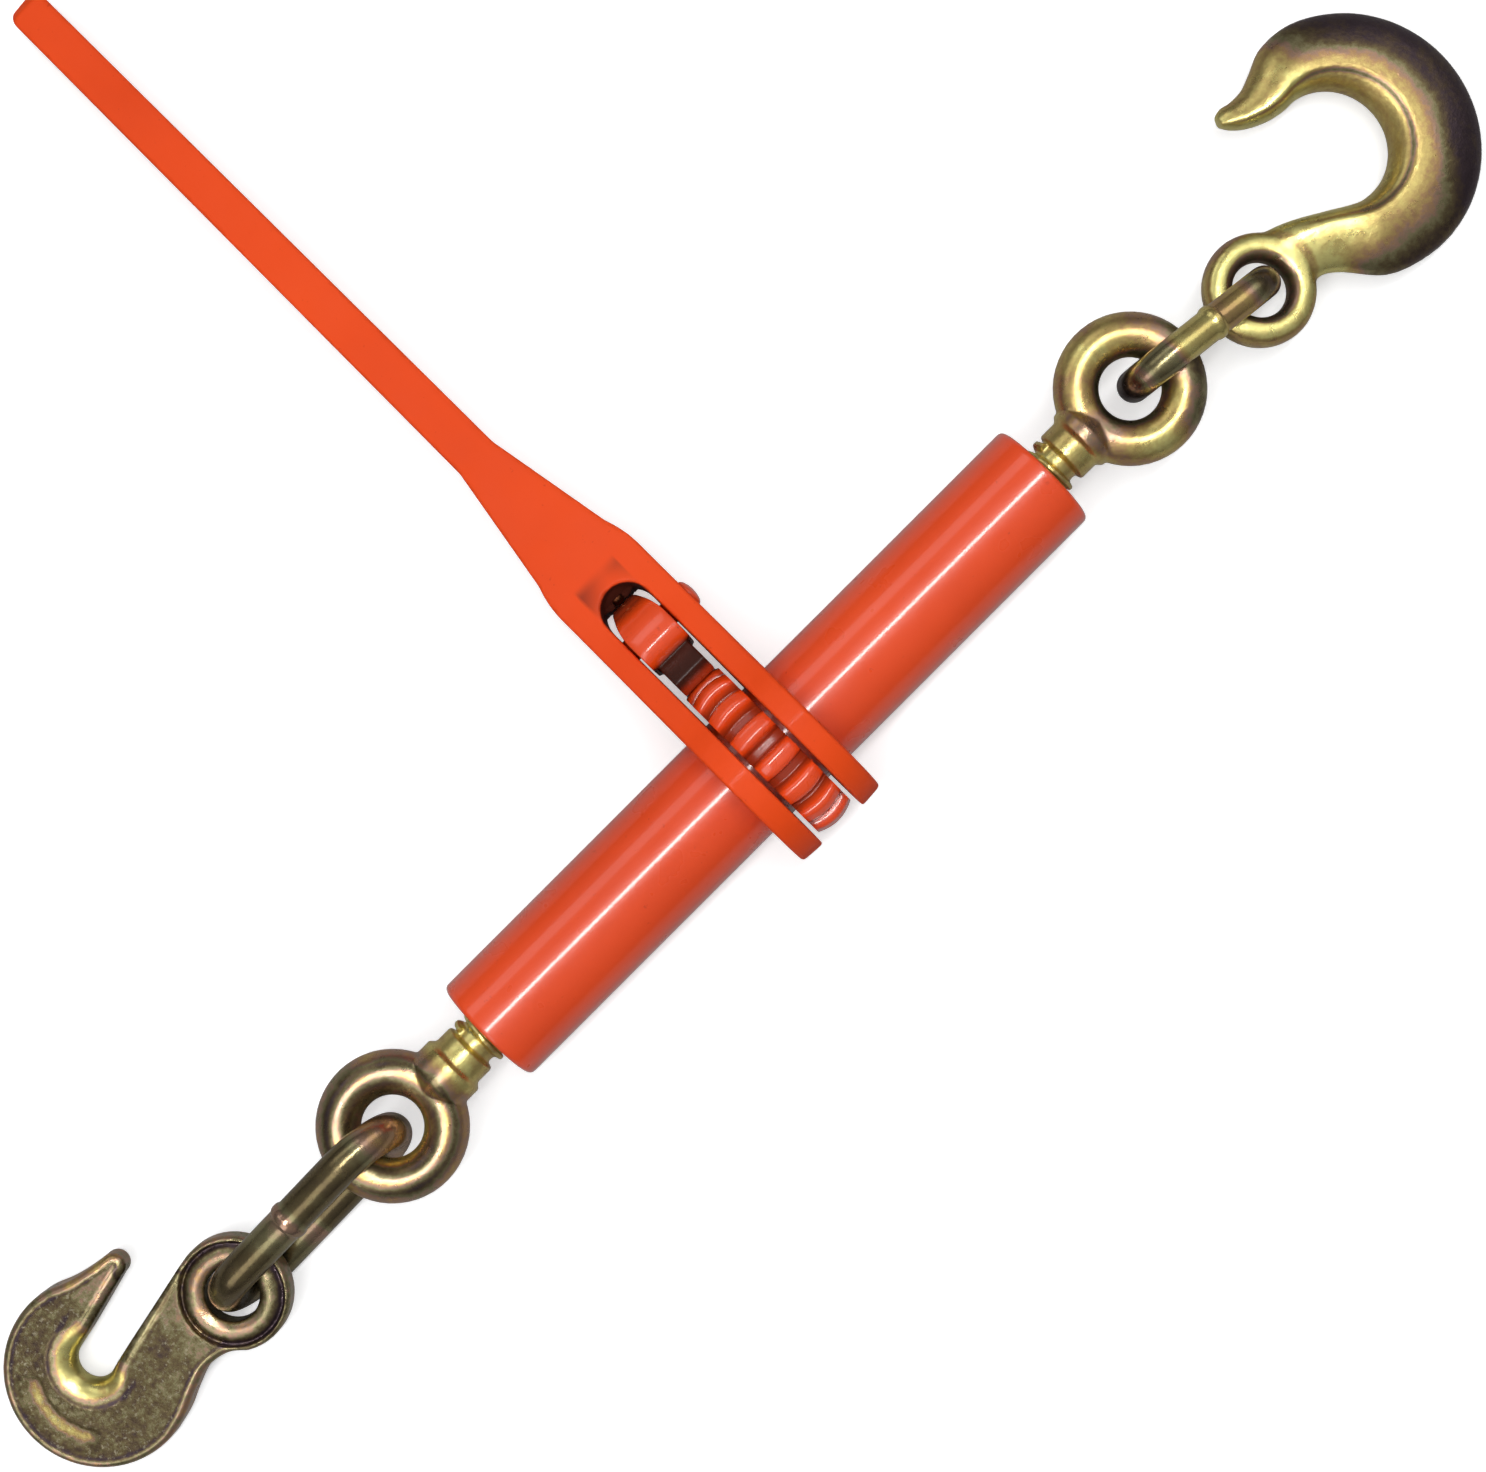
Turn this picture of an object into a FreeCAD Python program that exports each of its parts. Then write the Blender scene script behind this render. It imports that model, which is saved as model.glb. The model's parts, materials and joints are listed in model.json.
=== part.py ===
import FreeCAD, Part
import math
import os
import Sketcher

# A ratchet load binder: a barrel tube with a right-hand and a left-hand screw, worked by a forked
# lever through a toothed wheel and a pawl. Each screw ends in an eye, a link and a forged hook.
# Shapes are drawn about the barrel's centre, X along the barrel, Y along the lever, Z up.
# They are then placed so that the binder lies on the ground with its box centred over the origin.

Vector = FreeCAD.Vector
Rotation = FreeCAD.Rotation
Placement = FreeCAD.Placement
X_AXIS = Vector(1, 0, 0)
Y_AXIS = Vector(0, 1, 0)
Z_AXIS = Vector(0, 0, 1)

# Driving dimensions, in millimetres and degrees.
SIZES = {
    "barrel_length": 254.0,
    "barrel_diameter": 39.6,
    "barrel_bore": 26.0,
    "barrel_rim": 1.0,
    "nut_length": 20.0,
    "nut_recess": 1.0,
    "thread_pitch": 25.4 / 6,
    "thread_major": 19.05,
    "thread_depth": 2.4,
    "thread_crest": 1.5,
    "thread_base": 2.75,
    "thread_clearance": 0.25,
    "thread_sink": 0.15,
    "thread_start": 13.5,
    "thread_run": 119.0,
    "journal_start": 5.0,
    "journal_diameter": 12.0,
    "journal_shoulder": 11.0,
    "running_fit": 0.08,
    "stop_diameter": 25.2,
    "stop_thickness": 3.0,
    "stop_start": 7.8,
    "clip_start": 6.3,
    "clip_thickness": 1.1,
    "clip_groove": 1.3,
    "clip_inner": 10.0,
    "clip_outer": 16.4,
    "neck_start": 134.0,
    "neck_diameter": 18.9,
    "collar_start": 141.0,
    "collar_diameter": 22.4,
    "eye_centre": 166.2,
    "left_eye_extra": 4.2,
    "eye_ring": 17.6,
    "eye_section": 7.4,
    "gear_teeth": 16,
    "gear_width": 14.6,
    "gear_tip": 32.2,
    "gear_root": 27.3,
    "gear_edge": 0.9,
    "gear_offset": 1.2,
    "valley_mouth": 6.56,
    "valley_floor": 3.2,
    "fork_width": 35.0,
    "fork_gap": 17.7,
    "cheek_radius": 33.8,
    "window_end": 63.1,
    "forging_draft": 4.0,
    "parting_offset": 2.4,
    "lever_length": 346.5,
    "lever_neck": 133.0,
    "lever_neck_width": 14.9,
    "lever_tip_width": 13.2,
    "lever_neck_depth": 24.4,
    "lever_tip_depth": 20.0,
    "lever_droop": 3.92,
    "pin_distance": 54.3,
    "pin_diameter": 8.0,
    "pin_head": 9.8,
    "pin_head_height": 2.1,
    "pawl_width": 16.2,
    "pawl_arm_width": 13.0,
    "pawl_back": 12.9,
    "dimple_radius": 3.2,
    "dimple_depth": 0.6,
    "pawl_swing": 12.0,
    "pawl_tooth_reach": 28.6,
    "pawl_throat": 21.5,
    "plunger_diameter": 6.0,
    "plunger_length": 13.0,
    "plunger_nose": 67.3,
    "plunger_hole_end": 96.0,
    "spring_wire": 0.9,
    "left_wire": 12.4,
    "left_link_inner_width": 17.9,
    "left_link_inner_length": 65.6,
    "left_link_droop": 14.4,
    "left_link_roll": 12.7,
    "left_link_slack": 1.0,
    "right_wire": 11.0,
    "right_link_inner_width": 17.0,
    "right_link_inner_length": 44.5,
    "right_link_droop": 14.0,
    "right_link_roll": 0.0,
    "right_link_slack": 2.0,
    "right_arm_yaw": 6.5,
    "left_arm_yaw": 1.3,
    "weld_bead": 0.6,
    "weld_length": 2.4,
    "grab_thickness": 13.4,
    "grab_eye_thickness": 9.8,
    "grab_edge": 3.0,
    "grab_eye": 19.4,
    "grab_hole": 9.2,
    "grab_back": 32.0,
    "grab_slot": 13.3,
    "grab_slot_angle": 13.6,
    "grab_droop": 7.9,
    "slip_eye": 19.0,
    "slip_hole": 9.3,
    "slip_eye_thickness": 11.6,
    "slip_edge": 3.4,
    "slip_bowl": 19.7,
    "slip_back": 44.6,
    "slip_thickness": 19.0,
    "slip_droop": 8.4,
}

doc = FreeCAD.newDocument("ratchet_load_binder")
sheet = doc.addObject("Spreadsheet::Sheet", "Sizes")
for row, (alias, value) in enumerate(SIZES.items(), 1):
    sheet.set(f"A{row}", alias)
    sheet.set(f"B{row}", str(value))
    sheet.setAlias(f"B{row}", alias)
doc.recompute()


def size(alias):
    """A driving dimension, as a number."""
    return SIZES[alias]


def bind(thing, **expressions):
    """Ties properties of a document object to expressions on the sheet."""
    for name, text in expressions.items():
        thing.setExpression(name.replace("__", "."), text)
    return thing


# ---- helpers for Part primitives ----


def primitive(kind, name, at=None, turn=None, **expressions):
    """A Part primitive with its sizes bound to the sheet."""
    made = doc.addObject(f"Part::{kind}", name)
    made.Placement = Placement(at or Vector(), turn or Rotation())
    return bind(made, **expressions)


def rod(name, start, radius, length):
    """A cylinder along the barrel axis, with start, radius and length as sheet expressions."""
    made = primitive("Cylinder", name, turn=Rotation(Y_AXIS, 90), Radius=radius, Height=length)
    made.setExpression("Placement.Base.x", start)
    return made


def cut(name, base, tool):
    """Base with the tool taken away."""
    made = doc.addObject("Part::Cut", name)
    made.Base = base
    made.Tool = tool
    return made


def fuse(name, pieces):
    """One solid from several that overlap."""
    made = doc.addObject("Part::MultiFuse", name)
    made.Shapes = pieces
    made.Refine = True
    return made


def ring(name, start, outer, inner, length):
    """A plain ring on the barrel axis."""
    return cut(name, rod(f"{name}_outer", start, outer, length), rod(f"{name}_inner", start, inner, length))


def mirrored(name, source):
    """The left-hand twin of a right-hand piece, across the middle of the barrel."""
    made = doc.addObject("Part::Mirroring", name)
    made.Source = source
    made.Normal = X_AXIS
    made.Base = Vector()
    return made


# ---- helpers for PartDesign bodies ----


def new_body(name):
    """An empty body."""
    return doc.addObject("PartDesign::Body", name)


def new_sketch(body, name, role, lift=0.0):
    """A sketch on one of the body's own origin planes, lifted along the plane's normal."""
    plane = [each for each in body.Origin.OriginFeatures if each.Role == role][0]
    sketch = body.newObject("Sketcher::SketchObject", name)
    sketch.AttachmentSupport = (plane, [""])
    sketch.MapMode = "FlatFace"
    sketch.AttachmentOffset = Placement(Vector(0, 0, lift), Rotation())
    return sketch


def draw(sketch, start, legs):
    """A closed outline. A leg is an end point, or a middle and an end point for a round stretch."""
    here = Vector(*start)
    ends = []
    for leg in legs:
        there = Vector(*leg[-1])
        if len(leg) == 1:
            curve = Part.LineSegment(here, there)
        else:
            curve = Part.ArcOfCircle(here, Vector(*leg[0]), there)
        number = sketch.addGeometry(curve, False)
        flipped = sketch.getPoint(number, 1).distanceToPoint(here) > 1e-6
        ends.append((number, 2 if flipped else 1, 1 if flipped else 2))
        here = there
    for (one, _, last), (other, first, _) in zip(ends, ends[1:] + ends[:1]):
        sketch.addConstraint(Sketcher.Constraint("Coincident", one, last, other, first))


def polygon(points):
    """Straight legs through the points and back to the first."""
    return [(point,) for point in points[1:] + points[:1]]


def draw_circle(sketch, centre, radius):
    """A circle whose radius is a sheet expression."""
    number = sketch.addGeometry(Part.Circle(Vector(*centre), Z_AXIS, 1.0), False)
    sketch.addConstraint(Sketcher.Constraint("DistanceX", number, 3, centre[0]))
    sketch.addConstraint(Sketcher.Constraint("DistanceY", number, 3, centre[1]))
    held = sketch.addConstraint(Sketcher.Constraint("Radius", number, 1.0))
    sketch.setExpression(f"Constraints[{held}]", radius)


def revolve(body, name, sketch):
    """A turned solid about the barrel axis."""
    made = body.newObject("PartDesign::Revolution", name)
    made.Profile = sketch
    made.ReferenceAxis = (sketch, ["H_Axis"])
    made.Angle = 360
    return made


def pad(body, name, sketch, length):
    """A pad to both sides of its sketch."""
    made = body.newObject("PartDesign::Pad", name)
    made.Profile = sketch
    made.SideType = "Symmetric"
    return bind(made, Length=length)


def through(body, name, sketch):
    """A pocket right through, both ways from its sketch. It has to take material away."""
    doc.recompute()
    before = body.Tip.Shape.Volume
    made = body.newObject("PartDesign::Pocket", name)
    made.Profile = sketch
    made.SideType = "Symmetric"
    made.Type = "ThroughAll"
    doc.recompute()
    if made.Shape.Volume >= before:
        raise RuntimeError(f"{name} cuts nothing")
    return made


def helix(body, name, sketch, run):
    """A right-hand screw ridge along the barrel axis."""
    made = body.newObject("PartDesign::AdditiveHelix", name)
    made.Profile = sketch
    made.ReferenceAxis = (sketch, ["H_Axis"])
    made.Mode = "pitch-height-angle"
    made.LeftHanded = False
    made.Reversed = False
    return bind(made, Pitch="Sizes.thread_pitch", Height=run)


def edge_names(shape, wanted):
    """The names of the edges that pass a test."""
    return [f"Edge{number}" for number, edge in enumerate(shape.Edges, 1) if wanted(edge)]


def round_edges(body, name, wanted, radius):
    """A fillet on the edges of the body's latest feature that pass a test."""
    doc.recompute()
    latest = body.Tip
    made = body.newObject("PartDesign::Fillet", name)
    made.Base = (latest, edge_names(latest.Shape, wanted))
    return bind(made, Radius=radius)


def polar(radius, degrees):
    """The point at a radius and an angle, in a plane."""
    return (radius * math.cos(math.radians(degrees)), radius * math.sin(math.radians(degrees)))


# ---- barrel ----


def barrel_tube():
    """The plain tube, with a small round at each outer rim."""
    half = size("barrel_length") / 2
    outer = size("barrel_diameter") / 2
    bore = size("barrel_bore") / 2
    body = new_body("barrel_tube")
    sketch = new_sketch(body, "tube_section", "XY_Plane")
    draw(sketch, (-half, bore), polygon([(-half, bore), (half, bore), (half, outer), (-half, outer)]))
    revolve(body, "tube", sketch)

    def outer_rim(edge):
        return abs(abs(edge.CenterOfMass.x) - half) < 0.01 and edge.BoundBox.YMax > outer - 0.01

    round_edges(body, "tube_rims", outer_rim, "Sizes.barrel_rim")
    return body


def screw_ridge(body, name, middle, low, high, base, crest):
    """The sketch of a screw ridge: a trapezium at the +Y side, from radius low to radius high."""
    sketch = new_sketch(body, name, "XY_Plane")
    points = [
        (middle - base / 2, low),
        (middle - crest / 2, high),
        (middle + crest / 2, high),
        (middle + base / 2, low),
    ]
    draw(sketch, points[0], polygon(points))
    return sketch


def right_barrel_nut():
    """The threaded insert at the right end of the tube. Its ridge fills the screw's groove."""
    major = size("thread_major") / 2
    clearance = size("thread_clearance")
    pitch = size("thread_pitch")
    low = major - size("thread_depth") + clearance
    high = major + clearance + size("thread_sink")
    outer = size("barrel_bore") / 2
    end = size("barrel_length") / 2 - size("nut_recess")
    start = end - size("nut_length")
    body = new_body("right_barrel_nut")
    section = new_sketch(body, "nut_section", "XY_Plane")
    wall = major + clearance
    draw(section, (start, wall), polygon([(start, wall), (end, wall), (end, outer), (start, outer)]))
    revolve(body, "nut", section)
    # The groove is widest at the crest, so the nut's ridge is narrowest at its own low end.
    slope = (size("thread_base") - size("thread_crest")) / (2 * size("thread_depth"))
    groove_floor = pitch - size("thread_base") - 2 * clearance
    narrow = groove_floor + 2 * slope * clearance
    wide = narrow + 2 * slope * (high - low)
    turns = math.ceil((start - size("thread_start")) / pitch)
    middle = size("thread_start") + (turns + 0.5) * pitch
    ridge = screw_ridge(body, "nut_ridge", middle, low, high, narrow, wide)
    helix(body, "nut_thread", ridge, "Sizes.nut_length - 1.25 * Sizes.thread_pitch")
    return body


def ratchet_gear():
    """The toothed wheel on the middle of the tube, with round-cornered trapezium valleys."""
    half = size("gear_width") / 2
    tip = size("gear_tip")
    edge = size("gear_edge")
    bore = size("barrel_diameter") / 2
    body = new_body("ratchet_gear")
    section = new_sketch(body, "gear_section", "XY_Plane")
    outline = [(half, bore), (half, tip - edge), (half - edge, tip)]
    outline += [(edge - half, tip), (-half, tip - edge), (-half, bore)]
    draw(section, outline[0], polygon(outline))
    revolve(body, "gear_blank", section)
    valley = new_sketch(body, "gear_valley", "YZ_Plane")
    beyond = tip + 1.0
    mouth = size("valley_mouth") / 2
    floor = size("valley_floor") / 2
    spread = mouth + (mouth - floor) / (tip - size("gear_root"))
    points = [(beyond, -spread), (size("gear_root"), -floor), (size("gear_root"), floor), (beyond, spread)]
    draw(valley, points[0], polygon(points))
    first = through(body, "first_valley", valley)
    teeth = body.newObject("PartDesign::PolarPattern", "gear_valleys")
    teeth.Originals = [first]
    teeth.Axis = (section, ["H_Axis"])
    teeth.Angle = 360
    bind(teeth, Occurrences="Sizes.gear_teeth")
    body.Tip = teeth
    return body


# ---- screws, eyes and their stops ----


def eye_bolt(name, extra):
    """A right-hand screw with a forged eye; the eye stands further out by the extra length."""
    core = size("thread_major") / 2 - size("thread_depth")
    journal = size("journal_diameter") / 2
    groove = size("clip_inner") / 2
    clip = size("clip_start")
    clip_end = clip + size("clip_groove")
    neck = size("neck_diameter") / 2
    collar = size("collar_diameter") / 2
    collar_start = size("collar_start")
    eye = size("eye_centre") + extra
    taper_start = eye - size("eye_ring") - 2.5
    taper_end = eye - size("eye_ring") + 4.5
    outline = [
        (size("journal_start"), 0),
        (size("journal_start"), journal - 0.5),
        (size("journal_start") + 0.5, journal),
        (clip, journal),
        (clip, groove),
        (clip_end, groove),
        (clip_end, journal),
        (size("journal_shoulder"), journal),
        (size("journal_shoulder"), core),
        (size("neck_start"), core),
        (size("neck_start") + 0.8, neck),
        (collar_start, neck),
        (collar_start + 1.6, collar),
        (taper_start, collar),
        (taper_end, size("eye_section") - 2.4),
        (taper_end, 0),
    ]
    body = new_body(name)
    section = new_sketch(body, f"{name}_section", "XY_Plane")
    draw(section, outline[0], polygon(outline))
    revolve(body, f"{name}_shank", section)
    # The ridge is sunk a little into the core, and its flanks are carried on down with it.
    sink = size("thread_sink")
    flare = (size("thread_base") - size("thread_crest")) / size("thread_depth")
    ridge = screw_ridge(
        body,
        f"{name}_ridge",
        size("thread_start"),
        core - sink,
        size("thread_major") / 2,
        size("thread_base") + sink * flare,
        size("thread_crest"),
    )
    helix(body, f"{name}_thread", ridge, "Sizes.thread_run")
    eye_ring = body.newObject("PartDesign::AdditiveTorus", f"{name}_eye")
    eye_ring.Placement = Placement(Vector(eye, 0, 0), Rotation())
    bind(eye_ring, Radius1="Sizes.eye_ring", Radius2="Sizes.eye_section")
    return body


def stop_washer():
    """The washer on the inner journal that meets the nut when the screw is all the way out."""
    return ring(
        "right_stop_washer",
        "Sizes.stop_start",
        "Sizes.stop_diameter / 2",
        "Sizes.journal_diameter / 2 + Sizes.running_fit",
        "Sizes.stop_thickness",
    )


def retaining_ring():
    """The open spring clip in the journal's groove that keeps the stop washer on."""
    whole = ring(
        "whole_clip",
        "Sizes.clip_start + 0.1",
        "Sizes.clip_outer / 2",
        "Sizes.clip_inner / 2 + 0.02",
        "Sizes.clip_thickness",
    )
    mouth = primitive(
        "Box",
        "clip_mouth",
        Length="2 * Sizes.clip_thickness",
        Width="Sizes.clip_inner * 0.6",
        Height="Sizes.clip_outer",
    )
    mouth.setExpression("Placement.Base.x", "Sizes.clip_start - 0.4")
    mouth.setExpression("Placement.Base.y", "-Sizes.clip_inner * 0.3")
    return cut("right_retaining_ring", whole, mouth)


# ---- lever, pawl and detent ----


def lever_profile():
    """The lever seen along the barrel: a ring round the barrel that narrows into a long bar."""
    boss = size("cheek_radius")
    neck = size("lever_neck_depth") / 2
    tip = size("lever_tip_depth") / 2
    end = size("lever_length")
    shoulder = polar(boss, 58)
    return (end - 3.0, -tip), [
        ((end, -tip + 3.0),),
        ((end, tip - 3.0),),
        ((end - 3.0, tip),),
        ((size("lever_neck"), neck),),
        ((84.0, neck + 0.6),),
        ((42.0, 19.0), shoulder),
        ((-boss, 0), (shoulder[0], -shoulder[1])),
        ((42.0, -19.0), (84.0, -neck - 0.6)),
        ((size("lever_neck"), -neck),),
        ((end - 3.0, -tip),),
    ]


def lever_waste(side):
    """The plan outline of what is trimmed off one side of the lever, from the fork to the tip."""
    wide = size("fork_width") / 2
    neck = size("lever_neck_width") / 2
    tip = size("lever_tip_width") / 2
    end = size("lever_length")
    outer = wide + 10
    return (side * wide, 74.0), [
        ((side * (wide - 0.5), 82.0), (side * (wide - 2.4), 89.0)),
        ((side * neck, size("lever_neck")),),
        ((side * tip, end - 4.0),),
        ((side * (tip - 1.2), end - 1.4),),
        ((side * 2.4, end + 1.0),),
        ((side * 2.4, end + 10.0),),
        ((side * outer, end + 10.0),),
        ((side * outer, 74.0),),
        ((side * wide, 74.0),),
    ]


def handle():
    """The forged lever: two cheeks that ride on the barrel, a web and a long drafted bar."""
    body = new_body("handle")
    side_view = new_sketch(body, "lever_side", "YZ_Plane", size("parting_offset"))
    draw(side_view, *lever_profile())
    forging = body.newObject("PartDesign::Pad", "lever_forging")
    forging.Profile = side_view
    forging.SideType = "Two sides"
    bind(
        forging,
        Length="Sizes.fork_width / 2 - Sizes.parting_offset",
        Length2="Sizes.fork_width / 2 + Sizes.parting_offset",
        TaperAngle="-Sizes.forging_draft",
        TaperAngle2="-Sizes.forging_draft",
    )
    for side, word in ((1, "right"), (-1, "left")):
        waste = new_sketch(body, f"lever_waste_{word}", "XY_Plane")
        draw(waste, *lever_waste(side))
        through(body, f"lever_trim_{word}", waste)
    window = new_sketch(body, "fork_window", "XY_Plane")
    gap = size("fork_gap") / 2
    end = size("window_end")
    below = -size("cheek_radius") - 5
    legs = [((gap, end),), ((0, end + gap), (-gap, end)), ((-gap, below),), ((gap, below),)]
    draw(window, (gap, below), legs)
    through(body, "fork_slot", window)
    web = new_sketch(body, "window_web", "YZ_Plane")
    slope = [(end + 12.0, 9.0), (end + 9.4, 9.0), (end + 5.2, 1.0), (end + 5.2, -9.0), (end + 12.0, -9.0)]
    draw(web, slope[0], polygon(slope))
    pad(body, "window_end_web", web, "Sizes.fork_gap + 1")
    bore = new_sketch(body, "barrel_bore", "YZ_Plane")
    draw_circle(bore, (0, 0), "Sizes.barrel_diameter / 2 + Sizes.running_fit")
    through(body, "fork_bore", bore)
    pin_hole = new_sketch(body, "pin_hole", "YZ_Plane")
    draw_circle(pin_hole, (size("pin_distance"), 0), "Sizes.pin_diameter / 2")
    through(body, "fork_pin_hole", pin_hole)
    doc.recompute()
    drilled = body.newObject("PartDesign::SubtractiveCylinder", "plunger_hole")
    drilled.Placement = Placement(Vector(0, end, 0), Rotation(X_AXIS, -90))
    bind(
        drilled,
        Radius="Sizes.plunger_diameter / 2 + Sizes.running_fit",
        Height="Sizes.plunger_hole_end - Sizes.window_end",
    )
    return body


def pawl_pin():
    """The rivet that the pawl turns on: flush at the left cheek, with a domed head at the right."""
    half = size("fork_width") / 2
    radius = size("pin_diameter") / 2
    head = size("pin_head") / 2
    height = size("pin_head_height")
    body = new_body("pawl_pin")
    section = new_sketch(body, "pin_section", "XY_Plane")
    legs = [
        ((-half, radius),),
        ((half, radius),),
        ((half, head),),
        ((half + 0.72 * height, 0.68 * head), (half + height, 0.5)),
        ((half + height, 0),),
        ((-half, 0),),
    ]
    draw(section, (-half, 0), legs)
    revolve(body, "pin", section)
    return body


def swung(point, degrees):
    """A point turned about the pawl's pin, in the plane of the lever."""
    angle = math.radians(degrees)
    across, up = point
    return (
        across * math.cos(angle) - up * math.sin(angle),
        across * math.sin(angle) + up * math.cos(angle),
    )


def pawl_tooth():
    """One pawl tooth at rest, from its outer root over the tip to its inner root, about the pin.

    It is laid out in the first gear valley beside the lever, with a steep side that bears and a
    slanted side that lifts over the gear, then swung back to the middle.
    """
    valley = 360 / size("gear_teeth")
    reach = size("pawl_tooth_reach")
    along = polar(1, valley)
    across = (-along[1], along[0])
    corners = [(reach + 5.8, 3.0), (reach + 0.6, -0.6), (reach, -1.4), (reach + 5.0, -2.9)]
    placed = []
    for distance, aside in corners:
        seat = (
            distance * along[0] + aside * across[0] - size("pin_distance"),
            distance * along[1] + aside * across[1],
        )
        placed.append(swung(seat, -size("pawl_swing")))
    return placed


def pawl():
    """The double-ended pawl: a hub with two toothed arms and a thumb piece above and below."""
    throat = size("pawl_throat")
    upper = pawl_tooth()
    lower = [(across, -up) for across, up in reversed(upper)]
    body = new_body("pawl")
    arms = new_sketch(body, "pawl_arms", "YZ_Plane")
    legs = [(point,) for point in upper[1:]]
    legs += [(polar(throat + 0.4, 154),), ((-throat, 0), polar(throat + 0.4, -154))]
    legs += [(point,) for point in lower]
    legs += [((-4, -9.0),), ((-4, 9.0),), (upper[0],)]
    draw(arms, upper[0], legs)
    pad(body, "pawl_teeth", arms, "Sizes.pawl_arm_width")
    block = new_sketch(body, "pawl_block", "YZ_Plane")
    back = size("pawl_back")
    front = -11.2
    lip = 12.4
    legs = [
        ((front + 1.4, 17.8), (front + 6.0, 20.0)),
        ((4.0, 16.4), polar(back, 42)),
        ((back, 0), polar(back, -42)),
        ((4.0, -16.4), (front + 6.0, -20.0)),
        ((front + 1.4, -17.8), (front, -lip)),
        ((front, lip),),
    ]
    draw(block, (front, lip), legs)
    pad(body, "pawl_thumbs", block, "Sizes.pawl_width")
    for side, word in ((1, "upper"), (-1, "lower")):
        dimple = new_sketch(body, f"{word}_dimple", "YZ_Plane")
        centre = polar(back + size("dimple_radius") - size("dimple_depth"), side * size("pawl_swing"))
        draw_circle(dimple, centre, "Sizes.dimple_radius")
        through(body, f"{word}_detent", dimple)
    eye = new_sketch(body, "pawl_bore", "YZ_Plane")
    draw_circle(eye, (0, 0), "Sizes.pin_diameter / 2 + Sizes.running_fit")
    through(body, "pawl_eye", eye)
    for side, word in ((1, "right"), (-1, "left")):
        corner = new_sketch(body, f"pawl_corner_{word}", "XY_Plane")
        half = size("pawl_width") / 2
        legs = [((side * (half - 1.2), 7.0), (side * (half - 4.4), 14.0)), ((side * 12, 14.0),)]
        draw(corner, (side * half, 1.0), legs + [((side * 12, 1.0),), ((side * half, 1.0),)])
        through(body, f"pawl_nose_{word}", corner)
    return body


def detent_plunger():
    """The pin in the lever that presses on the back of the pawl, with a ball-shaped nose."""
    radius = size("plunger_diameter") / 2
    length = size("plunger_length")
    body = new_body("detent_plunger")
    section = new_sketch(body, "plunger_section", "XY_Plane")
    legs = [
        ((radius * (1 - math.cos(math.pi / 4)), radius * math.sin(math.pi / 4)), (radius, radius)),
        ((length - 5.0, radius),),
        ((length - 5.0, radius - 1.3),),
        ((length, radius - 1.3),),
        ((length, 0),),
        ((0, 0),),
    ]
    draw(section, (0, 0), legs)
    revolve(body, "plunger", section)
    return body


def detent_spring():
    """The coil spring behind the plunger, wound round the plunger's stem."""
    mean = size("plunger_diameter") / 2 - size("spring_wire") / 2 - 0.1
    seat = size("plunger_nose") + size("plunger_length") - 5.0
    run = size("plunger_hole_end") - seat - 2 * size("spring_wire")
    coil = Part.makeHelix(1.9, run, mean)
    wire = Part.Wire(Part.makeCircle(size("spring_wire") / 2, Vector(mean, 0, 0), Y_AXIS))
    made = doc.addObject("Part::Feature", "detent_spring")
    made.Shape = Part.Wire(coil).makePipeShell([wire], True, True)
    return made, seat + size("spring_wire")


# ---- links ----


def link(name, side):
    """A round-wire link in the XZ plane, long way along X, with a weld bead on its upper leg."""
    wire = f"Sizes.{side}_wire / 2"
    pitch = f"(Sizes.{side}_link_inner_width + Sizes.{side}_wire) / 2"
    straight = f"(Sizes.{side}_link_inner_length - Sizes.{side}_link_inner_width) / 2"
    pieces = []
    for end, word in ((1, "near"), (-1, "far")):
        turn = Rotation(X_AXIS, 90) if end > 0 else Rotation(X_AXIS, 90).multiply(Rotation(Z_AXIS, 180))
        bend = primitive("Torus", f"{name}_{word}_bend", turn=turn, Radius1=pitch, Radius2=wire)
        bend.Angle3 = 180
        bend.Placement.Rotation = bend.Placement.Rotation.multiply(Rotation(Z_AXIS, -90))
        bend.setExpression("Placement.Base.x", f"{end} * {straight}")
        pieces.append(bend)
    for level, word in ((1, "upper"), (-1, "lower")):
        leg = rod(f"{name}_{word}_leg", f"-{straight}", wire, f"2 * {straight}")
        leg.setExpression("Placement.Base.z", f"{level} * {pitch}")
        pieces.append(leg)
    bead = rod(f"{name}_weld", "-Sizes.weld_length / 2", f"{wire} + Sizes.weld_bead", "Sizes.weld_length")
    bead.setExpression("Placement.Base.z", pitch)
    return fuse(name, pieces + [bead])


def link_pose(side, direction, eye):
    """Where a link lies: its near bend round the eye ring, its far end drooping, rolled on its length."""
    straight = (size(f"{side}_link_inner_length") - size(f"{side}_link_inner_width")) / 2
    droop = Rotation(Y_AXIS, direction * size(f"{side}_link_droop"))
    roll = Rotation(X_AXIS, -size(f"{side}_link_roll"))
    reach = size("eye_ring") - size(f"{side}_link_slack")
    centre = Vector(direction * reach, 0, 0) + droop.multVec(Vector(direction * straight, 0, 0))
    yaw = -direction * size(f"{side}_arm_yaw")
    swing = Rotation(Z_AXIS, yaw)
    return Placement(Vector(eye, 0, 0), swing).multiply(Placement(centre, droop.multiply(roll)))


# ---- hooks, each drawn with its eye at the origin and its bowl towards +X ----


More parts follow.
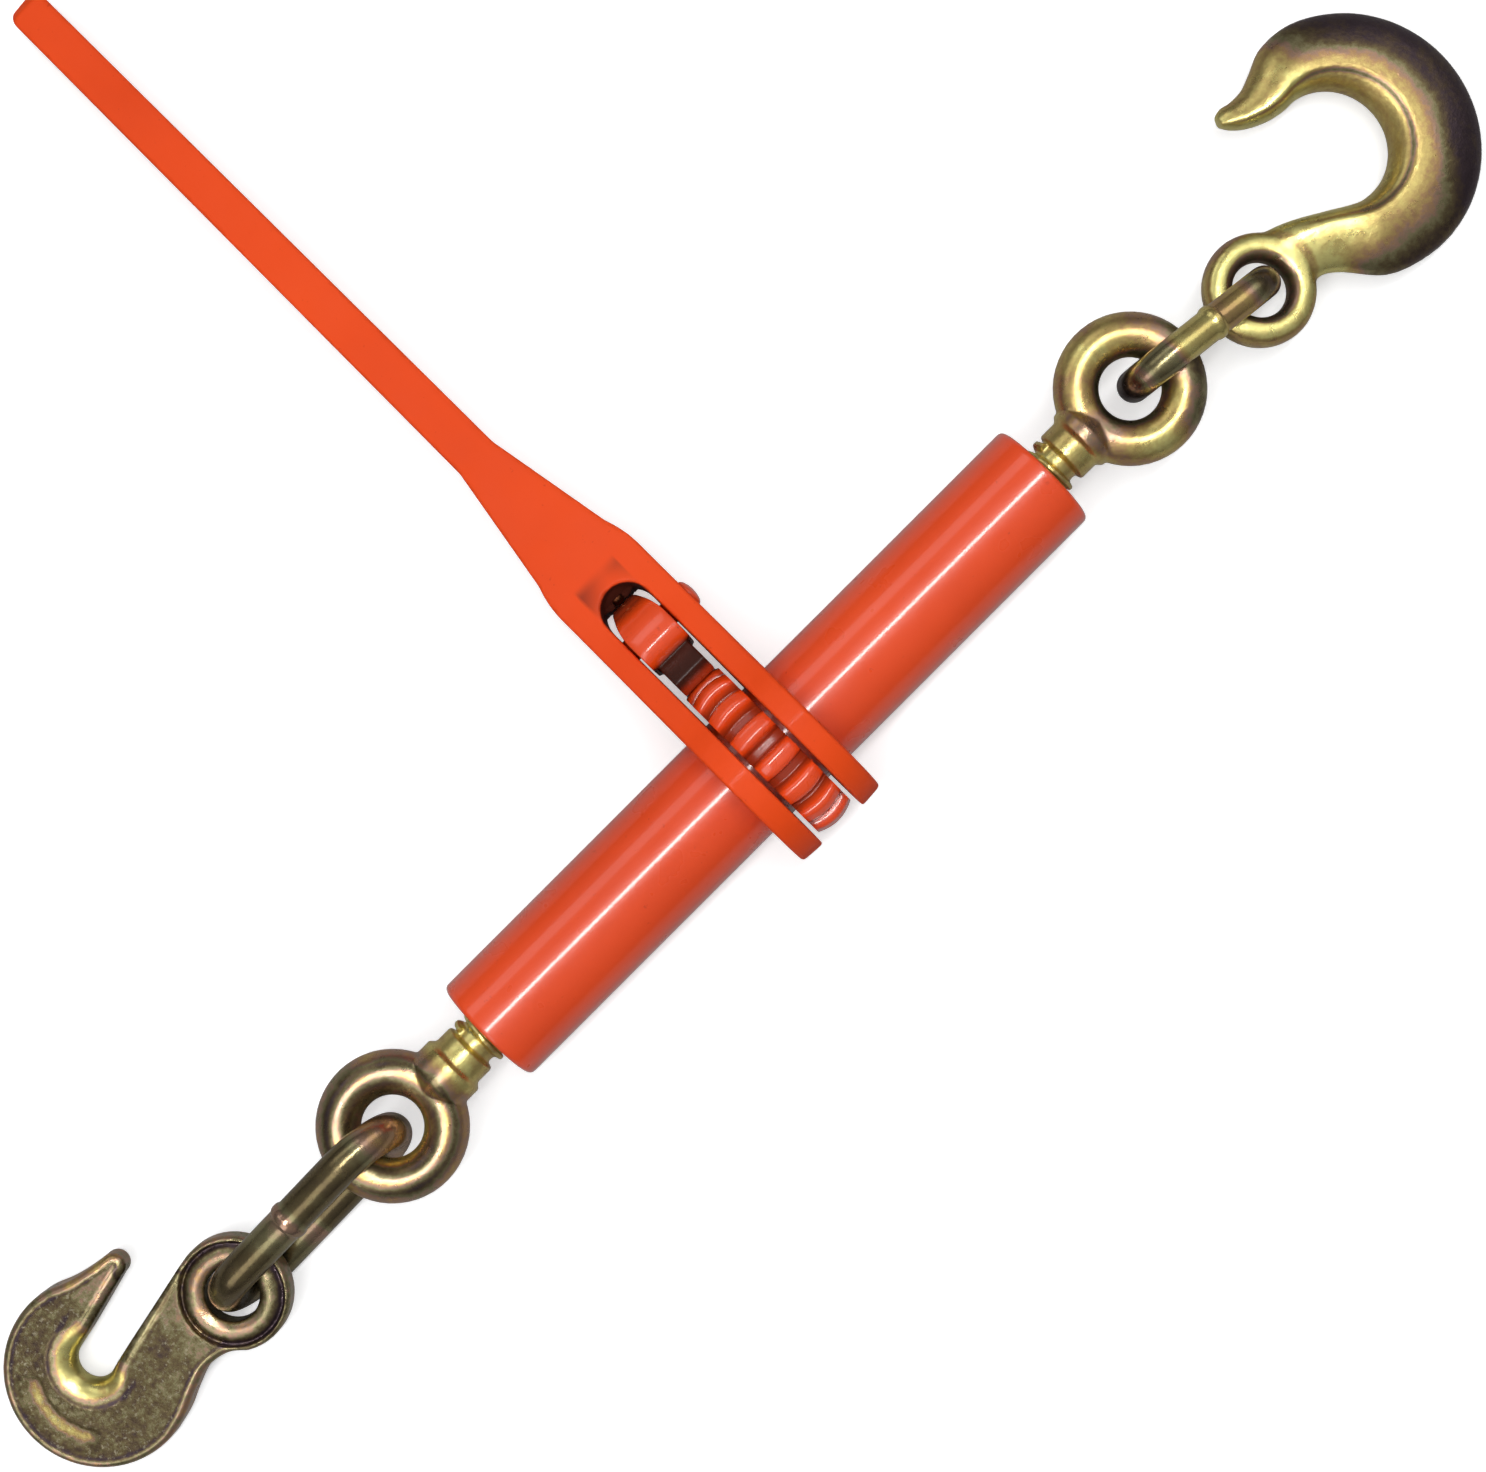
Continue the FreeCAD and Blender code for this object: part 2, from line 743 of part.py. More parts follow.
def hook_section(name, inner, outer, thickness, roundness):
    """A rounded rectangle that stands across a hook, from its inner wall to its outer rim."""
    across = Vector(*outer, 0) - Vector(*inner, 0)
    wide = across.Length / 2
    high = thickness / 2
    corner = roundness * min(wide, high)
    bend = corner * math.sqrt(0.5)
    edges = []
    for side, level in ((1, -1), (1, 1), (-1, 1), (-1, -1)):
        centre = Vector(side * (wide - corner), level * (high - corner), 0)
        beside = centre + Vector(side * corner, 0, 0)
        above = centre + Vector(0, level * corner, 0)
        ends = (above, beside) if side == -level else (beside, above)
        edges.append(Part.Arc(ends[0], centre + Vector(side * bend, level * bend, 0), ends[1]).toShape())
    corners = list(zip(edges, edges[1:] + edges[:1]))
    flats = [Part.makeLine(one.lastVertex().Point, other.firstVertex().Point) for one, other in corners]
    made = doc.addObject("Part::Feature", name)
    made.Shape = Part.Wire([edge for pair in zip(edges, flats) for edge in pair])
    middle = (Vector(*inner, 0) + Vector(*outer, 0)) * 0.5
    made.Placement = Placement(middle, Rotation(across, Z_AXIS, Vector(), "XYZ"))
    return made


def hook(name, stations, roundness):
    """A forged hook: a body through its sections, and a round eye at the origin with a hole."""
    sections = []
    for number, (inner, outer, thickness) in enumerate(stations):
        sections.append(hook_section(f"{name}_section_{number}", inner, outer, thickness, roundness))
    body = doc.addObject("Part::Loft", f"{name}_body")
    body.Sections = sections
    body.Solid = True
    half = size(f"{name}_eye_thickness") / 2
    blank = primitive("Cylinder", f"{name}_eye_blank", at=Vector(0, 0, -half))
    bind(blank, Radius=f"Sizes.{name}_eye", Height=f"Sizes.{name}_eye_thickness")
    doc.recompute()
    eye = doc.addObject("Part::Fillet", f"{name}_eye_round")
    eye.Base = blank
    rims = edge_names(blank.Shape, lambda edge: abs(abs(edge.CenterOfMass.z) - half) < 0.01)
    eye.Edges = [(int(rim[4:]), size(f"{name}_edge"), size(f"{name}_edge")) for rim in rims]
    hole = primitive("Cylinder", f"{name}_hole_tool", at=Vector(0, 0, -2 * half))
    bind(hole, Radius=f"Sizes.{name}_hole", Height=f"2 * Sizes.{name}_eye_thickness")
    return fuse(f"{name}_hook", [body, cut(f"{name}_ring", eye, hole)])


def shifted(start, distance, degrees):
    """A point at a distance and a direction from another."""
    across, up = polar(distance, degrees)
    return (start[0] + across, start[1] + up)


def rim_reach(centre, back_centre, back, degrees):
    """How far the back's circle is from another centre, in one direction."""
    ray = polar(1, degrees)
    away = (centre[0] - back_centre[0], centre[1] - back_centre[1])
    along = away[0] * ray[0] + away[1] * ray[1]
    return math.sqrt(back**2 - away[0] ** 2 - away[1] ** 2 + along**2) - along


def grab_hook():
    """The grab hook: a thick plate round a narrow slot that holds one chain link on edge."""
    slot_end = (49.1, 16.4)
    back_centre = (50.6, 12.8)
    half_slot = size("grab_slot") / 2
    along = 180 - size("grab_slot_angle")
    full = size("grab_thickness")

    def wall(run, side):
        return shifted(shifted(slot_end, run, along), half_slot, along - side * 90)

    stations = [
        (wall(36.8, -1), (12.8, -12.7), full - 4.4),
        (wall(22.5, -1), (24.0, -11.2), full - 3.0),
        (wall(11.2, -1), (33.7, -14.7), full - 0.8),
    ]
    for degrees in range(-104, 77, 30):
        inner = shifted(slot_end, half_slot, degrees)
        reach = rim_reach(slot_end, back_centre, size("grab_back"), degrees)
        stations.append((inner, shifted(slot_end, reach, degrees), full))
    stations.append((wall(14.3, 1), (38.3, 41.7), full))
    stations.append((wall(24.0, 1), (28.6, 39.2), full))
    stations.append((wall(29.6, 1), (21.7, 38.0), full - 2.5))
    stations.append(((18.4, 32.7), (18.3, 35.8), full - 8.0))
    return hook("grab", stations, 0.5)


def slip_hook():
    """The slip hook: an oval body round a wide bowl, with a thin bill and a thinner eye."""
    bowl = (51.1, 16.1)
    back_centre = (56.8, 12.5)
    full = size("slip_thickness")
    stations = [
        ((13.4, 12.2), (11.2, -12.4), full - 8.0),
        ((22.1, 9.6), (16.8, -11.0), full - 5.6),
        ((33.3, 3.5), (23.9, -15.1), full - 2.6),
    ]
    for degrees in range(-112, 65, 16):
        inner = shifted(bowl, size("slip_bowl"), degrees)
        reach = rim_reach(bowl, back_centre, size("slip_back"), degrees)
        thinner = 2.2 * max(0.0, degrees / 96)
        stations.append((inner, shifted(bowl, reach, degrees), full - thinner))
    stations.append((shifted(bowl, size("slip_bowl"), 80), (58.3, 55.8), full - 1.9))
    stations.append((shifted(bowl, size("slip_bowl"), 96), (49.5, 52.5), full - 2.8))
    stations.append(((42.8, 37.0), (43.6, 50.4), full - 5.2))
    stations.append(((36.4, 39.9), (38.0, 50.2), full - 8.0))
    stations.append(((30.2, 46.0), (31.1, 50.6), full - 13.0))
    return hook("slip", stations, 0.85)


# ---- assembly ----


def main():
    """Makes every piece, lays the binder on the ground and writes one STEP file for each piece."""
    tube = barrel_tube()
    gear = ratchet_gear()
    right_nut = right_barrel_nut()
    right_bolt = eye_bolt("right_eye_bolt", 0.0)
    left_bolt_twin = eye_bolt("left_eye_bolt_twin", size("left_eye_extra"))
    right_stop = stop_washer()
    right_clip = retaining_ring()
    lever = handle()
    pin = pawl_pin()
    rocker = pawl()
    plunger = detent_plunger()
    spring, spring_seat = detent_spring()
    left_chain = link("left_link", "left")
    right_chain = link("right_link", "right")
    grab = grab_hook()
    slip = slip_hook()
    twins = [
        mirrored("left_barrel_nut", right_nut),
        mirrored("left_eye_bolt", left_bolt_twin),
        mirrored("left_stop_washer", right_stop),
        mirrored("left_retaining_ring", right_clip),
    ]
    doc.recompute()

    # The lever and what it carries droop together, so that the lever's tip rests on the ground.
    droop = Placement(Vector(size("gear_offset"), 0, 0), Rotation(X_AXIS, -size("lever_droop")))
    at_pin = droop.multiply(Placement(Vector(0, size("pin_distance"), 0), Rotation()))
    along_lever = Rotation(Z_AXIS, 90)
    gear.Placement = droop
    lever.Placement = droop
    pin.Placement = at_pin
    rocker.Placement = at_pin
    plunger.Placement = droop.multiply(Placement(Vector(0, size("plunger_nose"), 0), along_lever))
    spring.Placement = droop.multiply(Placement(Vector(0, spring_seat, 0), Rotation(X_AXIS, -90)))

    left_eye = -(size("eye_centre") + size("left_eye_extra"))
    right_eye = size("eye_centre")
    left_chain.Placement = link_pose("left", -1, left_eye)
    right_chain.Placement = link_pose("right", 1, right_eye)
    # Each hook hangs from its link, its bowl end drooping to the ground.
    grab_at = Vector(-247.5, -1.75, -15.3)
    slip_at = Vector(220.2, -7.1, -10.3)
    grab.Placement = Placement(grab_at, Rotation(Y_AXIS, 180 - size("grab_droop")))
    slip.Placement = Placement(slip_at, Rotation(Y_AXIS, size("slip_droop")))
    doc.recompute()

    kept = [tube, gear, right_nut, right_bolt, right_stop, right_clip, lever, pin, rocker, plunger]
    kept += [spring, left_chain, right_chain, grab, slip] + twins
    for each in doc.Objects:
        if "Invalid" in each.State or "Error" in each.State:
            raise RuntimeError(f"{each.Label} failed: {each.State}")
    for each in kept:
        if each.Shape.isNull() or not each.Shape.isValid():
            raise RuntimeError(f"{each.Label} has no valid shape")

    # The whole binder stands on its lowest point, with the origin under the middle of its box.
    box = FreeCAD.BoundBox()
    for each in kept:
        box.add(each.Shape.optimalBoundingBox(True, False))
    shift = Vector(-box.Center.x, -box.Center.y, -box.ZMin)
    os.makedirs("parts", exist_ok=True)
    for each in kept:
        each.Placement = Placement(shift, Rotation()).multiply(each.Placement)
        each.Shape.exportStep(f"parts/{each.Label}.step")
        own = each.Shape.optimalBoundingBox(True, False)
        print(f"{each.Label:22s} {each.Shape.Volume / 1000:9.2f} cm3 {len(each.Shape.Solids)} solid", own)
    print("barrel centre", shift)


main()
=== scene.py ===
import json
import math

import bmesh
import bpy
import numpy as np
from mathutils import Matrix, Vector


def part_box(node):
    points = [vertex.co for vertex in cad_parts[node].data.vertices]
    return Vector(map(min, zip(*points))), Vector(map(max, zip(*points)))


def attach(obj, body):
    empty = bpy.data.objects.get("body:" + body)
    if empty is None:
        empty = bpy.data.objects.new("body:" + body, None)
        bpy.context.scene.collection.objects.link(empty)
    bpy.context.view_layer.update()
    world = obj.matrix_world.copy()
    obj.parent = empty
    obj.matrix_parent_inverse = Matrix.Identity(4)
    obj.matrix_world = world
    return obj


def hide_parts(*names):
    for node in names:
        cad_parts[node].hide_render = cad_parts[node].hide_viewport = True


# Looks for a ratchet load binder: orange enamel on the barrel, wheel, lever and pawl, and yellow
# chromate plating on the eyes, links and hooks. Local outlines are in millimetres.

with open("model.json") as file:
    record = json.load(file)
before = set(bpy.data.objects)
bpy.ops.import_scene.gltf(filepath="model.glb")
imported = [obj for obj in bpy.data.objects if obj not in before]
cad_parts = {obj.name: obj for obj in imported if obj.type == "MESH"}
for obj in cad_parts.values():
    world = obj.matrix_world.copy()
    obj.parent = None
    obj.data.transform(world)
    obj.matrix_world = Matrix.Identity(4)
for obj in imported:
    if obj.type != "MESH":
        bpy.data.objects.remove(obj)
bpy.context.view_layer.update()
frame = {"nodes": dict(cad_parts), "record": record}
joints = {joint["name"]: joint for joint in frame["record"]["behaviour"]["joints"]}
nodes = frame["nodes"]

MM = 0.001
WHEEL = Vector(joints["lever_swing"]["pos_m"])
TUBE = [Vector(corner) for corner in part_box("barrel_tube")]
AXIS = (TUBE[0] + TUBE[1]) / 2
PIN = Vector(joints["pawl_rock"]["pos_m"])
LEVER_WAY = Vector(joints["plunger_press"]["axis"])
LEVER_UP = Vector((1, 0, 0)).cross(LEVER_WAY)


# ---- meshes ----


def place(matrix, points):
    """Local points in millimetres, as world points in metres."""
    points = np.asarray(points, dtype=float)
    turn = np.array(matrix.to_3x3())
    return points @ turn.T * MM + np.array(matrix.translation)


def local(matrix, points):
    """World points in metres, as local points in millimetres."""
    turn = np.array(matrix.to_3x3())
    return (np.asarray(points) - np.array(matrix.translation)) @ turn / MM


def axes(origin, along, side):
    """A frame with local X along one way and local Y to a side."""
    along = Vector(along).normalized()
    side = (Vector(side) - Vector(side).dot(along) * along).normalized()
    turn = Matrix((along, side, along.cross(side))).transposed()
    return Matrix.Translation(Vector(origin)) @ turn.to_4x4()


def mesh_object(name, points, faces):
    """A smooth-shaded object from world points and faces."""
    mesh = bpy.data.meshes.new(name)
    mesh.from_pydata([tuple(point) for point in points], [], [tuple(face) for face in faces])
    made = bpy.data.objects.new(name, mesh)
    bpy.context.scene.collection.objects.link(made)
    mend(made)
    return made


def mend(thing):
    """Joins split corners, turns the faces outwards and shades them smooth."""
    shell = bmesh.new()
    shell.from_mesh(thing.data)
    bmesh.ops.remove_doubles(shell, verts=shell.verts, dist=2e-6)
    bmesh.ops.recalc_face_normals(shell, faces=shell.faces)
    for face in shell.faces:
        face.smooth = True
    shell.to_mesh(thing.data)
    shell.free()


def grid_faces(rows, columns, closed_rows=False):
    """Quads over a grid of points whose columns close on themselves."""
    faces = []
    for row in range(rows if closed_rows else rows - 1):
        below = (row + 1) % rows
        for column in range(columns):
            beside = (column + 1) % columns
            faces.append(
                (
                    row * columns + column,
                    row * columns + beside,
                    below * columns + beside,
                    below * columns + column,
                )
            )
    return faces


def skin(name, rings, closed=False):
    """An object over rings of points. The ends are capped unless the rings close."""
    rings = np.asarray(rings)
    rows, columns = rings.shape[:2]
    faces = grid_faces(rows, columns, closed)
    if not closed:
        faces.append(tuple(range(columns)))
        faces.append(tuple((rows - 1) * columns + column for column in range(columns)))
    return mesh_object(name, rings.reshape(-1, 3), faces)


def lathe(name, matrix, profile, segments=160):
    """A closed profile of (along, radius) pairs turned about local X."""
    rings = []
    for along, radius in profile:
        turn = np.linspace(0, 2 * math.pi, segments, endpoint=False)
        ring = np.stack([np.full(segments, along), radius * np.cos(turn), radius * np.sin(turn)], axis=1)
        rings.append(place(matrix, ring))
    return skin(name, rings, closed=True)


def rounded(profile, radius, steps=5):
    """A closed outline with its corners rounded."""
    outline = []
    count = len(profile)
    for number in range(count):
        here = np.array(profile[number], dtype=float)
        before = np.array(profile[number - 1]) - here
        after = np.array(profile[(number + 1) % count]) - here
        room = 0.45 * min(np.linalg.norm(before), np.linalg.norm(after))
        reach = min(radius, room)
        start = here + before / np.linalg.norm(before) * reach
        end = here + after / np.linalg.norm(after) * reach
        for step in range(steps + 1):
            t = step / steps
            outline.append((1 - t) ** 2 * start + 2 * t * (1 - t) * here + t**2 * end)
    return outline


def baked(thing):
    """Replaces an object's mesh with what its modifiers make of it."""
    graph = bpy.context.evaluated_depsgraph_get()
    graph.update()
    mesh = bpy.data.meshes.new_from_object(thing.evaluated_get(graph))
    thing.modifiers.clear()
    thing.data = mesh
    for face in mesh.polygons:
        face.use_smooth = True
    return thing


def forged(thing, voxel, passes):
    """One even skin over everything in the mesh, with its edges softened."""
    cover = thing.modifiers.new("skin", "REMESH")
    cover.mode = "VOXEL"
    cover.voxel_size = voxel * MM
    cover.adaptivity = 0.0
    cover.use_smooth_shade = True
    soften = thing.modifiers.new("soften", "SMOOTH")
    soften.factor = 0.5
    soften.iterations = passes
    return baked(thing)


def copied(name, node):
    """A free copy of a CAD node's mesh."""
    made = bpy.data.objects.new(name, nodes[node].data.copy())
    bpy.context.scene.collection.objects.link(made)
    made.data.materials.clear()
    mend(made)
    return made


def joined(name, things):
    """Several objects as one mesh."""
    shell = bmesh.new()
    for thing in things:
        shell.from_mesh(thing.data)
        bpy.data.objects.remove(thing)
    mesh = bpy.data.meshes.new(name)
    shell.to_mesh(mesh)
    shell.free()
    made = bpy.data.objects.new(name, mesh)
    bpy.context.scene.collection.objects.link(made)
    return made


def points_of(thing):
    """An object's points as an array, in metres."""
    points = np.empty(len(thing.data.vertices) * 3)
    thing.data.vertices.foreach_get("co", points)
    return points.reshape(-1, 3)


def move_points(thing, points):
    """Puts an object's points in new places."""
    thing.data.vertices.foreach_set("co", np.asarray(points).ravel())
    thing.data.update()


def paint(thing, name, values):
    """A number at each point, for the material to read."""
    layer = thing.data.attributes.new(name, "FLOAT", "POINT")
    layer.data.foreach_set("value", np.clip(values, 0, 1).astype(float))


def step_up(low, high, values):
    """Nought below low, one above high, and smooth between."""
    t = np.clip((np.asarray(values, dtype=float) - low) / (high - low), 0, 1)
    return t * t * (3 - 2 * t)


def circle_points(centre, radius, start, end, count):
    """Points along an arc, in degrees."""
    turn = np.radians(np.linspace(start, end, count))
    return np.stack([centre[0] + radius * np.cos(turn), centre[1] + radius * np.sin(turn)], axis=1)


def smooth_through(rows, steps):
    """Rows of numbers with smooth in-between rows."""
    rows = np.asarray(rows, dtype=float)
    slopes = np.gradient(rows, axis=0)
    made = []
    for number in range(len(rows) - 1):
        for step in range(steps):
            t = step / steps
            made.append(
                (2 * t**3 - 3 * t**2 + 1) * rows[number]
                + (t**3 - 2 * t**2 + t) * slopes[number]
                + (-2 * t**3 + 3 * t**2) * rows[number + 1]
                + (t**3 - t**2) * slopes[number + 1]
            )
    made.append(rows[-1])
    return np.array(made)


def nearest(points, outline):
    """Each point's distance to an open line of points, in plan."""
    start = outline[:-1]
    run = outline[1:] - start
    length = np.maximum((run**2).sum(axis=1), 1e-9)
    best = np.full(len(points), 1e9)
    for origin, way, square in zip(start, run, length):
        t = np.clip(((points - origin) @ way) / square, 0, 1)
        gap = np.hypot(*(points - origin - t[:, None] * way).T)
        best = np.minimum(best, gap)
    return best


# ---- materials ----


class Nodes:
    """A material being put together, with its texture space in the object's own metres."""

    def __init__(self, name):
        self.material = bpy.data.materials.new(name)
        self.material.use_nodes = True
        self.tree = self.material.node_tree
        self.shader = self.tree.nodes["Principled BSDF"]
        self.where = self.add("ShaderNodeTexCoord").outputs["Object"]

    def add(self, kind, **values):
        """A node of a kind, with some of its settings."""
        node = self.tree.nodes.new(kind)
        for name, value in values.items():
            setattr(node, name, value)
        return node

    def link(self, start, end):
        """Joins an output to an input."""
        self.tree.links.new(start, end)

    def noise(self, scale, detail=4.0, roughness=0.55, distortion=0.0):
        """A noise between nought and one."""
        node = self.add("ShaderNodeTexNoise")
        self.link(self.where, node.inputs["Vector"])
        node.inputs["Scale"].default_value = scale
        node.inputs["Detail"].default_value = detail
        node.inputs["Roughness"].default_value = roughness
        node.inputs["Distortion"].default_value = distortion
        return node.outputs["Fac"]

    def ramp(self, source, stops):
        """Colours by number, from (number, colour) stops."""
        node = self.add("ShaderNodeValToRGB")
        steps = node.color_ramp.elements
        while len(steps) < len(stops):
            steps.new(0.5)
        for step, (at, colour) in zip(steps, stops):
            step.position = at
            step.color = (*colour, 1.0)
        self.link(source, node.inputs["Fac"])
        return node.outputs["Color"]

    def maths(self, operation, one, other, clamp=False):
        """One sum on two numbers or sockets."""
        node = self.add("ShaderNodeMath", operation=operation, use_clamp=clamp)
        for socket, value in zip(node.inputs, (one, other)):
            if isinstance(value, (int, float)):
                socket.default_value = value
            else:
                self.link(value, socket)
        return node.outputs[0]

    def mix(self, factor, one, other, blend="MIX"):
        """Two colours mixed, each a socket or a colour."""
        node = self.add("ShaderNodeMix", data_type="RGBA", blend_type=blend)
        for socket, value in zip((node.inputs[0], node.inputs[6], node.inputs[7]), (factor, one, other)):
            if isinstance(value, (int, float)):
                socket.default_value = value
            elif isinstance(value, tuple):
                socket.default_value = (*value, 1.0)
            else:
                self.link(value, socket)
        return node.outputs[2]

    def painted(self, name):
        """A number painted on the mesh's points."""
        return self.add("ShaderNodeAttribute", attribute_name=name).outputs["Fac"]

    def bump(self, heights):
        """Bumps on top of each other, as (height, strength, distance in metres)."""
        below = None
        for height, strength, distance in heights:
            node = self.add("ShaderNodeBump")
            node.inputs["Strength"].default_value = strength
            node.inputs["Distance"].default_value = distance
            self.link(height, node.inputs["Height"])
            if below:
                self.link(below, node.inputs["Normal"])
            below = node.outputs["Normal"]
        self.link(below, self.shader.inputs["Normal"])

    def spread(self, source, low, high):
        """A noise between two numbers."""
        node = self.add("ShaderNodeMapRange")
        node.inputs["From Min"].default_value = 0.3
        node.inputs["From Max"].default_value = 0.7
        node.inputs["To Min"].default_value = low
        node.inputs["To Max"].default_value = high
        self.link(source, node.inputs["Value"])
        return node.outputs["Result"]


def enamel(name, gloss, with_painted_shade=False):
    """Orange-red enamel, a little uneven, with as much gloss as its coat is thick. With painted shade asked
    for, a number painted on the mesh darkens it nearly to black, as painted shade, and takes its coat away.
    """
    made = Nodes(name)
    tone = made.ramp(
        made.noise(14.0, 3.0),
        [(0.3, (0.71, 0.056, 0.005)), (0.55, (0.78, 0.064, 0.006)), (0.75, (0.82, 0.072, 0.008))],
    )
    specks = made.ramp(made.noise(420.0, 2.0), [(0.70, (1, 1, 1)), (0.78, (0.80, 0.70, 0.62))])
    colour = made.mix(1.0, tone, specks, "MULTIPLY")
    made.shader.inputs["Coat Weight"].default_value = gloss
    if with_painted_shade:
        # Painted shade: near black, with no coat, where the painted number is high.
        painted_shade = made.painted("painted_shade")
        colour = made.mix(painted_shade, colour, (0.018, 0.010, 0.007))
        unshaded = made.maths("SUBTRACT", 1.0, painted_shade)
        made.link(made.maths("MULTIPLY", unshaded, gloss), made.shader.inputs["Coat Weight"])
    made.link(colour, made.shader.inputs["Base Color"])
    rough = 0.56 - 0.34 * gloss
    made.link(made.spread(made.noise(60.0, 3.0), rough, rough + 0.12), made.shader.inputs["Roughness"])
    made.shader.inputs["Specular IOR Level"].default_value = 0.16 + 0.3 * gloss
    made.shader.inputs["Coat Roughness"].default_value = 0.11
    made.bump([(made.noise(150.0, 2.0), 0.14, 0.0004), (made.noise(900.0, 2.0), 0.06, 0.0001)])
    return made.material


# The plating's colour by how thick and dark its film is.
CHROMATE = [
    (0.00, (0.78, 0.70, 0.26)),
    (0.14, (0.64, 0.51, 0.18)),
    (0.28, (0.52, 0.37, 0.14)),
    (0.37, (0.46, 0.28, 0.14)),
    (0.46, (0.40, 0.25, 0.18)),
    (0.57, (0.28, 0.25, 0.13)),
    (0.70, (0.175, 0.135, 0.066)),
    (0.84, (0.115, 0.080, 0.054)),
    (1.00, (0.075, 0.052, 0.060)),
]


def chromate(name, grain=0.0, gloss=0.26):
    """Yellow chromate on zinc: the painted film sets gold, pink, green or dark purple."""
    made = Nodes(name)
    cloud = made.maths("SUBTRACT", made.noise(55.0, 5.0, 0.6, 0.6), 0.5)
    fine = made.maths("SUBTRACT", made.noise(420.0, 4.0, 0.65), 0.5)
    film = made.maths("ADD", made.painted("film"), made.maths("MULTIPLY", cloud, 0.30 + 0.45 * grain**2))
    film = made.maths("ADD", film, made.maths("MULTIPLY", fine, 0.16 + 0.6 * grain), clamp=True)
    colour = made.ramp(film, CHROMATE)
    if grain > 0.9:
        flecks = made.ramp(made.noise(560.0, 4.0, 0.7), [(0.56, (0, 0, 0)), (0.66, (0.6, 0.6, 0.6))])
        worn = made.maths("MULTIPLY", flecks, made.painted("rough"))
        colour = made.mix(worn, colour, (0.50, 0.45, 0.30))
    made.link(colour, made.shader.inputs["Base Color"])
    made.shader.inputs["Metallic"].default_value = 0.92
    rough = made.spread(made.noise(170.0, 4.0), gloss, gloss + 0.14)
    if grain:
        rough = made.maths("ADD", rough, made.maths("MULTIPLY", made.painted("rough"), 0.16))
    made.link(rough, made.shader.inputs["Roughness"])
    pits = made.noise(700.0, 3.0, 0.7)
    lumps = made.noise(210.0, 4.0, 0.6)
    bumps = [(lumps, 0.20, 0.0006), (pits, 0.10, 0.0002)]
    if grain:
        coarse = made.maths("MULTIPLY", made.noise(480.0, 5.0, 0.7), made.painted("rough"))
        bumps.append((coarse, 0.9, 0.0011 * grain))
    made.bump(bumps)
    return made.material


def steel(name, colour, rough):
    """Plain machined steel with an oily film."""
    made = Nodes(name)
    low = tuple(0.7 * part for part in colour)
    tone = made.ramp(made.noise(90.0, 4.0), [(0.35, low), (0.65, colour)])
    made.link(tone, made.shader.inputs["Base Color"])
    made.shader.inputs["Metallic"].default_value = 1.0
    made.link(made.spread(made.noise(300.0), rough, rough + 0.15), made.shader.inputs["Roughness"])
    made.bump([(made.noise(800.0, 2.0), 0.1, 0.0001)])
    return made.material


def dress(thing, material):
    """Gives an object one material."""
    thing.data.materials.clear()
    thing.data.materials.append(material)


def piece(thing, body, slot, material, *replaced):
    """A finished piece of the object."""
    dress(thing, material)
    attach(thing, body)
    if replaced:
        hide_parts(*replaced)


# ---- barrel and wheel ----


def make_barrel(material):
    """The tube, turned, with a round at each rim."""
    half, outer, _ = (TUBE[1] - TUBE[0]) / 2 / MM
    bore = 13.0
    rim_round = 2.0
    profile = rounded([(-half, bore), (half, bore), (half, outer), (-half, outer)], rim_round)
    matrix = axes(AXIS, (1, 0, 0), (0, 1, 0))
    made = lathe("barrel", matrix, profile, 256)
    piece(made, "barrel", "orange_paint", material, "barrel_tube")


def gear_outline():
    """The wheel's edge seen along the barrel, with rounded crests and roots."""
    teeth = 16
    tip = 32.2
    root = 27.3
    mouth = 3.28
    floor = 1.6
    pitch = 2 * math.pi / teeth
    wall = [(root, 0.0), (root, floor), (tip, mouth)]
    points = []
    for tooth in range(teeth):
        middle = tooth * pitch
        for side, edge in ((-1, wall[::-1]), (1, wall[1:])):
            for along, aside in edge:
                points.append((middle + side * math.atan2(aside, along), math.hypot(along, aside)))
    flat = [(radius * math.cos(angle), radius * math.sin(angle)) for angle, radius in points]
    corner_round = 2.4
    return np.array(rounded(flat, corner_round, 6))


def make_gear(material):
    """The toothed wheel, crowned across its width, with painted shade in its valleys."""
    half = 7.3
    bore = (TUBE[1].y - TUBE[0].y) / 2 / MM
    crown = 14.0
    outline = gear_outline()
    reach = np.hypot(outline[:, 0], outline[:, 1])
    turn = Matrix((LEVER_WAY, LEVER_UP, Vector((1, 0, 0)))).transposed().to_4x4()
    matrix = Matrix.Translation(WHEEL) @ turn
    rings = []
    for along in half * np.sin(np.radians(np.linspace(-90, 90, 27))):
        fall = along**2 / (2 * crown)
        ring = np.column_stack([outline * (1 - fall / reach)[:, None], np.full(len(outline), along)])
        rings.append(place(matrix, ring))
    for along in (half, -half):
        ring = np.column_stack([outline * (bore / reach)[:, None], np.full(len(outline), along)])
        rings.append(place(matrix, ring))
    made = skin("gear", rings, closed=True)
    shape = local(matrix, points_of(made))
    radius = np.hypot(shape[:, 0], shape[:, 1])
    # Painted shade in the valleys: darker from below the crests down to the root.
    paint(made, "painted_shade", 0.62 * step_up(30.0, 27.4, radius))
    piece(made, "barrel", "orange_paint", material, "ratchet_gear")


# ---- lever and pawl ----


